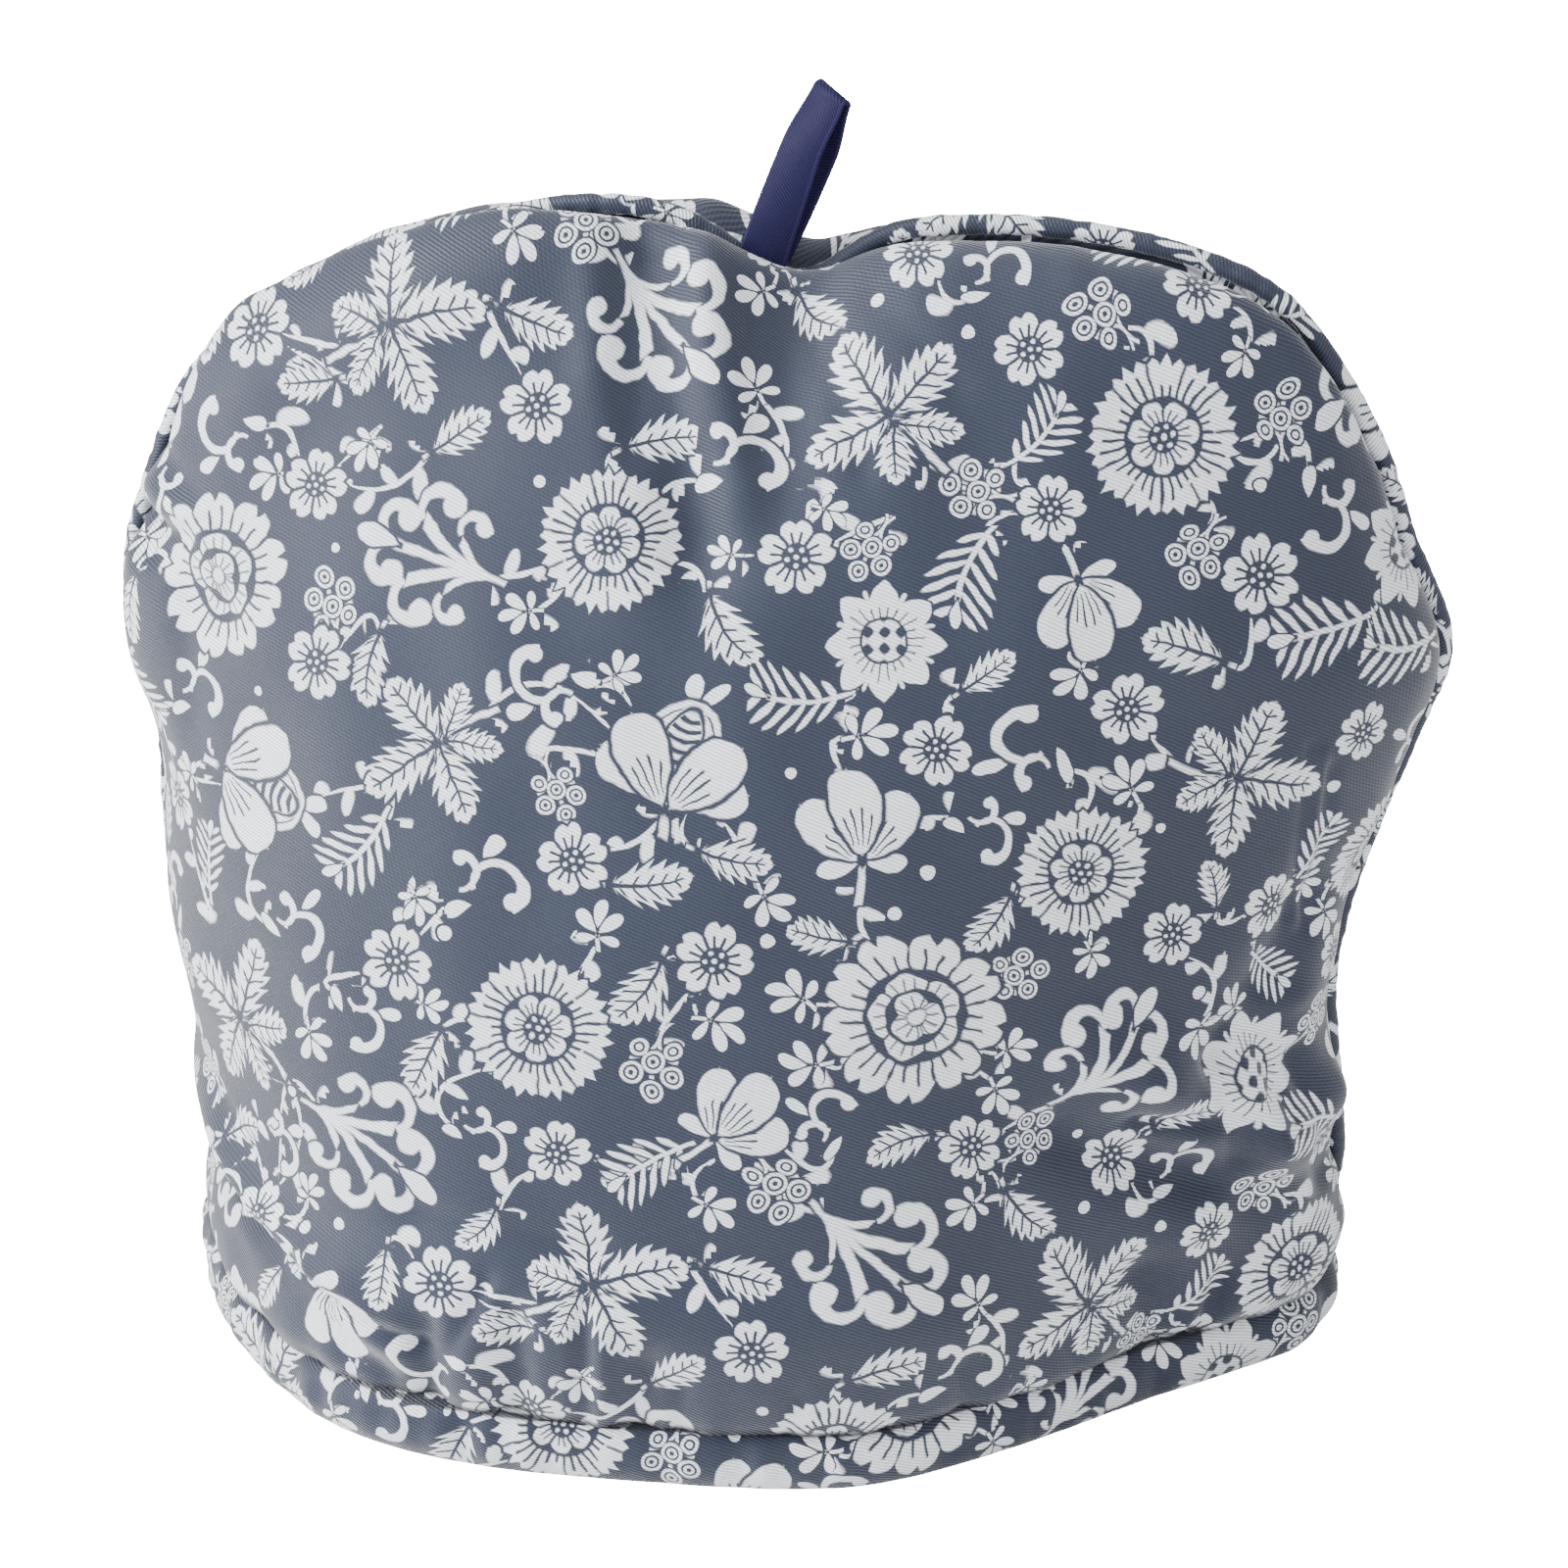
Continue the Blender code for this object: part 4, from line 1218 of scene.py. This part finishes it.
def berries(x, y):
    """Ringed berries on a forked stalk."""
    side = abs(x)
    near = long(side - 0.50, y - 0.16).least(long(x, y - 0.60)).least(long(x, y + 0.18))
    near = near.least(long(side - 0.42, y + 0.52) + 0.06)
    ring = line(near - 0.175, 0.030)
    bare = (0.07 - near).soft()
    forks = (0.04 - abs(long(side - 0.62, y + 0.85) - 0.62)).least(0.60 - side).least(0.10 - y)
    fruit = inked(0.29 - near, 0.06, ring.most(bare))
    return over(fruit, inked(forks, 0.04), stalk(x, y, 0.055, -1.05, 0.45))


def bead(x, y):
    """A dot."""
    return inked(0.85 - long(x, y), 0.3)


DRAWINGS = (leaf_shape, drop, petal, rosette, peony, aster, blossom, leaf, trefoil, fountain)
GROUPS = {}
for draw in (*DRAWINGS, scroll, bud, tulip, spray, sprig, berries, bead):
    GROUPS[draw.__name__] = motif_group(draw)

# A face of the cloth only works out the drawings of its own share of each layer, so that a
# render stays quick: there is one material for each pair of shares.
SHARES = {
    UPPER: ((), ("peony", "rosette", "aster", "blossom"), ("trefoil", "tulip"), ("bud", "fountain")),
    LOWER: ((), ("leaf", "spray", "sprig", "bead"), ("scroll", "berries")),
}

STEM_HALF, STEM_SWELL = 0.00042, 0.00016  # half a stem's width, and how much that varies
STEM_SWELLS_OVER = 210.0  # radians of swelling in a metre of stem
LEAFLET_PITCH = 0.0115
LEAFLET_REACH = 0.0056
WANDER_SCALE = 260.0  # unevenness of the drawn lines, in turns to a metre
WANDER = 0.08  # and its size in radii
STEM_WANDER = 0.0007  # and in metres


def split(tree, vector, kind="ShaderNodeSeparateXYZ"):
    node = tree.nodes.new(kind)
    tree.links.new(vector.socket, node.inputs[0])
    return [Field(tree, socket) for socket in node.outputs]


def stem_drawing(off, along, room):
    """A stem that swells and thins, with small leaves to both sides in turn."""
    aside = abs(off)
    stem = (STEM_HALF + (along * STEM_SWELLS_OVER).sin() * STEM_SWELL - aside).soft(0.0002)
    place = (along / LEAFLET_PITCH + off.math("GREATER_THAN", 0.0) * 0.5).part()
    share = (aside / LEAFLET_REACH).least(1.0)
    fat = 0.30 * (share**0.5) * ((1.0 - share) ** 0.6) * room
    leaflet = (fat - abs(place - 0.35 - share * 0.22)).soft(0.05) * (0.97 - share).soft()
    return stem.most(leaflet * room.math("GREATER_THAN", 0.25)) * room.math("GREATER_THAN", 0.0)


def print_group(name, names):
    """How much of the print covers each place: the upper layer of motifs, with bare cloth round
    each, over the lower one, over the stems. Every line wanders a little, as drawn by hand.
    names holds the drawings of each layer that are worked out."""
    inputs = (("Cloth", VECTOR), ("Upper", VECTOR), ("Lower", VECTOR), ("Stem", VECTOR))
    tree, field, give = group(name, inputs, (("Printed", NUMBER),))
    uneven = noise(tree, field["Cloth"], WANDER_SCALE, 1.0, "Color")
    drift_x, drift_y, _ = (one - 0.5 for one in split(tree, uneven, "ShaderNodeSeparateColor"))
    layers = []
    for label, kinds in zip(("Upper", "Lower"), names):
        if not kinds:
            continue
        x, y, kind = split(tree, field[label])
        x, y = x + drift_x * WANDER, y + drift_y * WANDER
        ink = cover = None
        for drawing in kinds:
            here = kind.math("COMPARE", float(KINDS[drawing]), 0.4)
            one_ink, one_cover = (part * here for part in drawn(drawing, x, y))
            ink = one_ink if ink is None else ink + one_ink
            cover = one_cover if cover is None else cover + one_cover
        layers.append((ink, cover))
    off, along, room = split(tree, field["Stem"])
    stem = stem_drawing(off + drift_x * STEM_WANDER, along, room)
    give("Printed", over(*layers, (stem, stem))[0])
    return tree


# ---------------------------------------------------------------- cloth materials

GROUND = (0.025, 0.034, 0.062)
GROUND_DEEP = (0.017, 0.024, 0.045)
PRINT_WHITE = (0.830, 0.860, 0.920)
TWILL_PITCH = 0.00074
TWILL_DEGREES = 20.0
SEAM_SHADE_HALF = 0.0009  # half the width of the painted shade along the hem's seam, a dark line standing in for the shade in its groove
# The colour of that painted shade along the hem's seam.
SEAM_SHADE_COLOUR = (0.008, 0.010, 0.018)
NAVY_DEEP, NAVY, NAVY_EDGE = (0.004, 0.003, 0.020), (0.014, 0.012, 0.062), (0.024, 0.021, 0.080)
RIB_PITCH, RIB_SLANT = 0.00078, 0.62
SELVEDGE = 0.0007  # its width


def twill_group():
    """Diagonal ribs of a twill: how high the thread lies, and how light it looks."""
    tree, field, give = group(
        "twill",
        (("Cloth", VECTOR), ("Across", NUMBER), ("Up", NUMBER)),
        (("Height", NUMBER), ("Light", NUMBER)),
    )
    u, v, _ = split(tree, field["Cloth"])
    uneven = noise(tree, field["Cloth"], 260.0, 2.0) - 0.5
    rib = (u * field["Across"] + v * field["Up"]) * (1.0 / TWILL_PITCH) + uneven * 0.35
    ridge = (rib * FULL_TURN).sin() * 0.5 + 0.5
    step = ((u * field["Up"] - v * field["Across"]) * (0.62 / TWILL_PITCH) + rib * 0.5) * FULL_TURN
    give("Height", ridge * 0.8 + (step.sin() * 0.5 + 0.5) * 0.2)
    slub = noise(tree, field["Cloth"], 900.0, 3.0) - 0.5
    give("Light", ridge * 0.62 + 0.62 + slub * 0.18)
    return tree


def noise(tree, vector, scale, detail, output=0):
    node = tree.nodes.new("ShaderNodeTexNoise")
    setting(node, {"Scale": scale, "Detail": detail})
    tree.links.new(vector.socket, node.inputs["Vector"])
    return Field(tree, node.outputs[output])


def mixed(tree, factor, first, second, blend="MIX"):
    """A colour mixed from two. Each is a colour or a Field."""
    node = tree.nodes.new("ShaderNodeMix")
    node.data_type = "RGBA"
    node.blend_type = blend
    for socket, value in ((node.inputs[0], factor), (node.inputs[6], first), (node.inputs[7], second)):
        if isinstance(value, Field):
            tree.links.new(value.socket, socket)
        elif isinstance(value, tuple):
            socket.default_value = (*value, 1.0)
        else:
            socket.default_value = value
    return Field(tree, node.outputs[2])


def as_colour(tree, field):
    node = tree.nodes.new("ShaderNodeCombineColor")
    for socket in node.inputs[:3]:
        tree.links.new(field.socket, socket)
    return Field(tree, node.outputs[0])


def new_material(name):
    made = bpy.data.materials.new(name)
    made.use_nodes = True
    tree = made.node_tree
    return made, tree, tree.nodes["Principled BSDF"]


def attribute(tree, name, output="Vector"):
    node = tree.nodes.new("ShaderNodeAttribute")
    node.attribute_name = name
    return Field(tree, node.outputs[output])


def uv(tree, name):
    node = tree.nodes.new("ShaderNodeUVMap")
    node.uv_map = name
    return Field(tree, node.outputs[0])


def setting(node, values):
    for label, value in values.items():
        node.inputs[label].default_value = value


def bump(tree, shader, height, distance, strength):
    node = tree.nodes.new("ShaderNodeBump")
    setting(node, {"Distance": distance, "Strength": strength})
    tree.links.new(height.socket, node.inputs["Height"])
    tree.links.new(node.outputs["Normal"], shader.inputs["Normal"])


def cotton(name, shared_print=None):
    """Slate-blue twill, with the white print worn softer in patches, and painted shade along the hem's
    seam.
    """
    made, tree, shader = new_material(name)
    cloth = uv(tree, "cloth")
    turn = math.radians(TWILL_DEGREES)
    settings = {"Cloth": cloth, "Across": math.sin(turn), "Up": math.cos(turn)}
    light = use(tree, SHARED["twill"], settings, "Light")
    height = use(tree, SHARED["twill"], settings, "Height")
    patch = noise(tree, cloth, 14.0, 3.0)
    colour = mixed(tree, patch, GROUND_DEEP, GROUND)
    if shared_print is not None:
        places = {label.title(): attribute(tree, label) for label in ("upper", "lower", "stem")}
        places["Cloth"] = cloth
        covered = use(tree, shared_print, places, "Printed")
        worn = (noise(tree, cloth, 700.0, 1.0) * 0.16 + 0.88).least(1.0)
        colour = mixed(tree, covered * worn, colour, PRINT_WHITE)
        # Painted shade: a thin dark line along the hem's seam, where the groove between the binding
        # and the panel lies in shade.
        painted_seam_shade = (SEAM_SHADE_HALF - attribute(tree, "painted_seam_shade", "Fac")).soft(0.0006)
        colour = mixed(tree, painted_seam_shade * 0.9, colour, SEAM_SHADE_COLOUR)
    colour = mixed(tree, 1.0, colour, as_colour(tree, light), "MULTIPLY")
    tree.links.new(colour.socket, shader.inputs["Base Color"])
    rough = noise(tree, cloth, 60.0, 2.0) * 0.12 + 0.46
    tree.links.new(rough.socket, shader.inputs["Roughness"])
    setting(shader, {"Sheen Weight": 0.36, "Sheen Roughness": 0.40, "Specular IOR Level": 0.32})
    bump(tree, shader, height, 0.00018, 0.8)
    return made


def ribbon_material():
    """Navy ribbon: fine diagonal ribs between two lighter selvedges."""
    made, tree, shader = new_material("navy_ribbon")
    cloth = uv(tree, "cloth")
    along, across, _ = split(tree, cloth)
    ribs = ((along + across * RIB_SLANT) * (FULL_TURN / RIB_PITCH)).sin() * 0.5 + 0.5
    selvedge = (abs(across) - (RIBBON_WIDTH / 2 - SELVEDGE)).soft(0.0002)
    tone = mixed(tree, ribs * 0.8, NAVY_DEEP, NAVY)
    tone = mixed(tree, selvedge * 0.45, tone, NAVY_EDGE)
    tree.links.new(tone.socket, shader.inputs["Base Color"])
    rough = noise(tree, cloth, 300.0, 2.0) * 0.15 + 0.48
    tree.links.new(rough.socket, shader.inputs["Roughness"])
    setting(shader, {"Specular IOR Level": 0.10, "Sheen Weight": 0.04})
    bump(tree, shader, ribs + selvedge * 0.6, 0.00010, 0.7)
    return made


def printed_cottons():
    """The printed cotton, once for each pair of shares of the drawings."""
    made = []
    for upper in range(len(SHARES[UPPER])):
        for lower in range(len(SHARES[LOWER])):
            ending = "_%d_%d" % (upper, lower)
            names = (SHARES[UPPER][upper], SHARES[LOWER][lower])
            made.append(cotton("printed_cotton" + ending, print_group("floral_print" + ending, names)))
    return made


SHARED = {"twill": twill_group()}

# ---------------------------------------------------------------- the pieces


def cloth_places(side, across, up):
    """The panel's flat places on a fine grid, from a coarse relaxed net."""
    old_across, old_up = spread(NET_GRID[0]), spread(NET_GRID[1])
    coarse = laid_flat(settle(base_surface(side, old_across, old_up)))
    return finer(coarse, old_across, old_up, across, up)


def panel(side, materials, print_at):
    """The panel's outer face: its middle surface plus its normal times fill and folds."""
    across, up = spread(PANEL_GRID[0]), spread(PANEL_GRID[1])
    base = base_surface(side, across, up)
    normal = outward(side, base)
    lengths = cloth_in_from_edges(base)
    edge = rolled(lengths["side"], ROLL) * rolled(lengths["top"], ROLL)
    fill = HEM_SQUASH + (1.0 - HEM_SQUASH) * rolled(lengths["hem"], HEM_ROLL)
    inward = np.minimum(lengths["side"], lengths["top"])
    fade = smooth_step(inward / FOLD_FADE)
    folds = fold_height(FOLDS[side], base) * fade
    folds += fold_height(CREASES[side], base) * smooth_step(inward / CREASE_FADE)
    folds += puckers(side, base, lengths)
    uneven = waves(base[..., 0], base[..., 2], UNEVEN_REACH, UNEVEN_SEED[side])
    folds += fade * UNEVEN_HEIGHT * uneven
    outer = on_its_side(side, base + normal * (PAD_OUT * edge * fill + folds)[..., None])
    flat = cloth_places(side, across, up)
    return cloth_piece(
        side + "_panel_cloth", outer, flat, materials, side == "back",
        print_at=print_at, painted_seam_shade=abs(lengths["hem"] - SEAM_ON_PANEL),
    )


def panel_inside(side, materials):
    """The panel's inner face, which only shows from below."""
    across, up = spread(INSIDE_GRID[0]), spread(INSIDE_GRID[1])
    base = base_surface(side, across, up)
    normal = outward(side, base)
    folds = 0.5 * fold_height(FOLDS[side], base)
    inner = on_its_side(side, base - normal * (PAD_IN - folds)[..., None])
    flat = cloth_places(side, across, up)
    return cloth_piece(
        side + "_panel_inside", inner, flat, materials, side == "front"
    )


def piping(materials):
    """The covered cord: a circle carried along the seam line at its stand, drawn in and let
    out along its length where the bias cover puckers."""
    line = curve_through(SEAM_LINE)
    tangent = unit(np.gradient(line, axis=0))
    along = lengths_along(line)
    risen = smooth_step(np.minimum(along, along[-1] - along) / PIPING_END_REACH)[:, None]
    stand = PIPING_END_STAND + (PIPING_STAND - PIPING_END_STAND) * risen
    for x, reach, sink in PIPING_SINKS:
        on_top = smooth_step((line[:, 1] - DIP["from_z"]) / PIPING_SINKS_OVER)
        stand[:, 0] -= sink * np.exp(-(((line[:, 0] - x) / reach) ** 2)) * on_top
    centre = line + stand * np.stack([-tangent[:, 1], tangent[:, 0]], -1)
    centre = at_shares(centre, spread(PIPING_GRID[0]))
    middle = settle(np.stack([centre[:, 0], 0 * centre[:, 0], centre[:, 1]], -1))
    ahead = unit(np.gradient(middle, axis=0))
    depth = unit(np.cross(ahead, np.cross(np.array([0.0, 1.0, 0.0]), ahead)))
    out = np.cross(ahead, depth)
    turn = spread(PIPING_GRID[1], True) * FULL_TURN
    length = lengths_along(middle)
    radius = PIPING_RADIUS * (1.0 + PIPING_UNEVEN * waves(length, 0 * length, PIPING_PUCKER, 31))
    inward = smooth_step(np.minimum(length, length[-1] - length) / PIPING_THINS)
    radius *= PIPING_END_SHARE + (1.0 - PIPING_END_SHARE) * inward
    ring = np.cos(turn)[None, :, None] * out[:, None] + np.sin(turn)[None, :, None] * depth[:, None]
    points = middle[:, None] + radius[:, None, None] * ring
    around = np.append(turn, FULL_TURN) * PIPING_RADIUS
    flat = np.stack(np.broadcast_arrays(length[:, None], around[None]), -1)
    return cloth_piece(
        "edge_piping_cover", points, flat, materials, False, (False, True),
        print_at=((0.10, 0.05), math.radians(45)),
    )


def binding(materials):
    """The hem band: its section, a closed curve, carried round the stitching line, with small
    gathers below the seam."""
    loop, _ = hem_loop()
    loop = np.concatenate([loop, loop[:1]])
    line = at_shares(loop, spread(HEM_GRID[0], True))
    tangent = unit(np.roll(line, -1, axis=0) - np.roll(line, 1, axis=0))
    out = np.stack([tangent[:, 1], -tangent[:, 0]], -1)
    section = curve_through(BINDING_SECTION, closed=True)
    section = np.concatenate([section, section[:1]])
    section[:, 1] = np.clip(section[:, 1], 0.0, None)
    section = at_shares(section, spread(HEM_GRID[1], True))
    share = section[:, 1] / HEM_DEPTH
    x, y = line[:, 0], line[:, 1]
    gather = waves(x, y, GATHER_REACH, 41)[:, None] * GATHER_HEIGHT * np.sin(math.pi * share)[None]
    swell = waves(x, y, SWELL_REACH, 42)[:, None] * SWELL_HEIGHT * share[None]
    reach = section[None, :, :1] + np.sign(section[None, :, :1]) * (gather + swell)[..., None]
    plan = line[:, None] + out[:, None] * reach
    height = np.broadcast_to(section[None, :, 1:], (*plan.shape[:2], 1))
    points = np.concatenate([plan, height], axis=-1)
    around = lengths_along(np.concatenate([line, line[:1]]))
    over = lengths_along(np.concatenate([section, section[:1]]))
    flat = np.stack(np.broadcast_arrays(around[:, None], -over[None]), -1)
    return cloth_piece(
        "hem_binding_cloth", points, flat, materials, True, (True, True),
        print_at=((0.137, 0.094), 0.0), painted_seam_shade=abs(over[None, :-1] - SEAM_ON_BINDING),
    )


def ribbon(materials):
    """The ribbon: its middle line goes up the front leg, over the fold and down the back leg,
    leaning and turning as it rises; its section is a flat strip with rounded selvedges."""
    height = math.dist(RIBBON_FOOT, RIBBON_TOP)
    leg = spread(RIBBON_ROWS) * (height - RIBBON_FOLD)
    turn = (1.0 - spread(RIBBON_ROWS))[1:-1] * math.pi
    apart = smooth_step((leg[-1] - leg) / RIBBON_OPENS)
    apart = apart * (RIBBON_LEGS / 2 - RIBBON_FOLD) + RIBBON_FOLD
    back = np.concatenate([-apart, RIBBON_FOLD * np.cos(turn), apart[::-1]])
    rise = np.concatenate([leg, leg[-1] + RIBBON_FOLD * np.sin(turn), leg[::-1]])
    share = rise / height
    lean = np.array([RIBBON_TOP[0] - RIBBON_FOOT[0], 0.0, RIBBON_TOP[1] - RIBBON_FOOT[1]])
    lean /= np.linalg.norm(lean)
    level = np.array([lean[2], 0.0, -lean[0]])
    first, last = np.radians(RIBBON_TURN)
    spin = (first + (last - first) * share)[:, None]
    depth = np.array([0.0, 1.0, 0.0])
    wide = level * np.cos(spin) - depth * np.sin(spin)
    through = level * np.sin(spin) + depth * np.cos(spin)
    foot = np.array([RIBBON_FOOT[0], 0.0, RIBBON_FOOT[1]])
    pinch = 1.0 - RIBBON_PINCH * smooth_step(1.0 - share / RIBBON_PINCHED)[:, None]
    middle = foot + rise[:, None] * lean + back[:, None] * through * pinch
    ahead = unit(np.gradient(middle, axis=0))
    face = unit(np.cross(wide, ahead))
    half, thin = RIBBON_WIDTH / 2, RIBBON_THICK / 2
    section = np.array(
        [(-half, 0), (-half + thin, -thin), (0, -thin), (half - thin, -thin)]
        + [(half, 0), (half - thin, thin), (0, thin), (-half + thin, thin)]
    )
    points = middle[:, None] + section[:, :1] * wide[:, None] + section[:, 1:] * face[:, None]
    length = lengths_along(middle)
    side = np.append(section[:, 0], section[0, 0])
    flat = np.stack(np.broadcast_arrays(length[:, None], side[None]), -1)
    return cloth_piece(
        "ribbon_loop_cloth", points, flat, materials, False, (False, True)
    )


# ---------------------------------------------------------------- floor, light and view


FLOOR_GLOW = 24.0  # added to the floor where the camera sees it, for a white ground
WORLD_GLOW = 0.66
LAMPS = (
    # name, place, size, power
    ("window", (-1.8, -0.5, 1.1), 1.2, 106.0),
    ("top", (-0.3, -0.2, 2.2), 1.6, 36.0),
    ("fill", (1.5, -1.6, 0.7), 1.4, 16.0),
)
LAMPS_AIM = Vector((0.0, 0.0, 0.12))


def pale_floor():
    bpy.ops.mesh.primitive_plane_add(size=12.0, location=(0.0, 0.0, -0.0002))
    floor = bpy.context.object
    floor.name = "pale_floor"
    made, tree, shader = new_material("pale_floor")
    setting(shader, {"Base Color": (0.92, 0.92, 0.92, 1.0), "Emission Color": (1.0, 1.0, 1.0, 1.0)})
    setting(shader, {"Roughness": 0.85, "Specular IOR Level": 0.15})
    seen = tree.nodes.new("ShaderNodeLightPath").outputs["Is Camera Ray"]
    glow = Field(tree, seen) * FLOOR_GLOW
    tree.links.new(glow.socket, shader.inputs["Emission Strength"])
    floor.data.materials.append(made)


def studio_light():
    world = bpy.data.worlds.new("studio")
    world.use_nodes = True
    sky = world.node_tree.nodes["Background"]
    setting(sky, {"Color": (1.0, 1.0, 1.0, 1.0), "Strength": WORLD_GLOW})
    bpy.context.scene.world = world
    for name, place, size, power in LAMPS:
        lamp = bpy.data.lights.new(name, "AREA")
        lamp.size = size
        lamp.energy = power
        made = bpy.data.objects.new(name, lamp)
        made.location = place
        made.rotation_euler = (LAMPS_AIM - made.location).to_track_quat("-Z", "Y").to_euler()
        bpy.context.scene.collection.objects.link(made)


def camera():
    turn, rise = math.radians(VIEW_ROUND), math.radians(VIEW_UP)
    back = Vector((math.sin(turn) * math.cos(rise), -math.cos(turn) * math.cos(rise), math.sin(rise)))
    lens = bpy.data.cameras.new("view")
    lens.lens = VIEW_LENS
    lens.sensor_width = 36.0
    made = bpy.data.objects.new("view", lens)
    made.location = Vector(VIEW_AIM) + VIEW_DISTANCE * back
    made.rotation_euler = (-back).to_track_quat("-Z", "Y").to_euler()
    bpy.context.scene.collection.objects.link(made)
    bpy.context.scene.camera = made


def main():
    printed = printed_cottons()
    front = panel("front", printed, ((0.0, 0.0), 0.0))
    back = panel("back", printed, ((0.10, 0.09), 0.0))
    plain = [cotton("inside_cotton")]
    front_in = panel_inside("front", plain)
    back_in = panel_inside("back", plain)
    cord = piping(printed)
    band = binding(printed)
    loop = ribbon([ribbon_material()])
    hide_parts("front_panel")
    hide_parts("back_panel")
    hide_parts("edge_piping")
    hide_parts("hem_binding")
    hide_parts("ribbon_loop")
    pale_floor()
    studio_light()
    camera()


main()
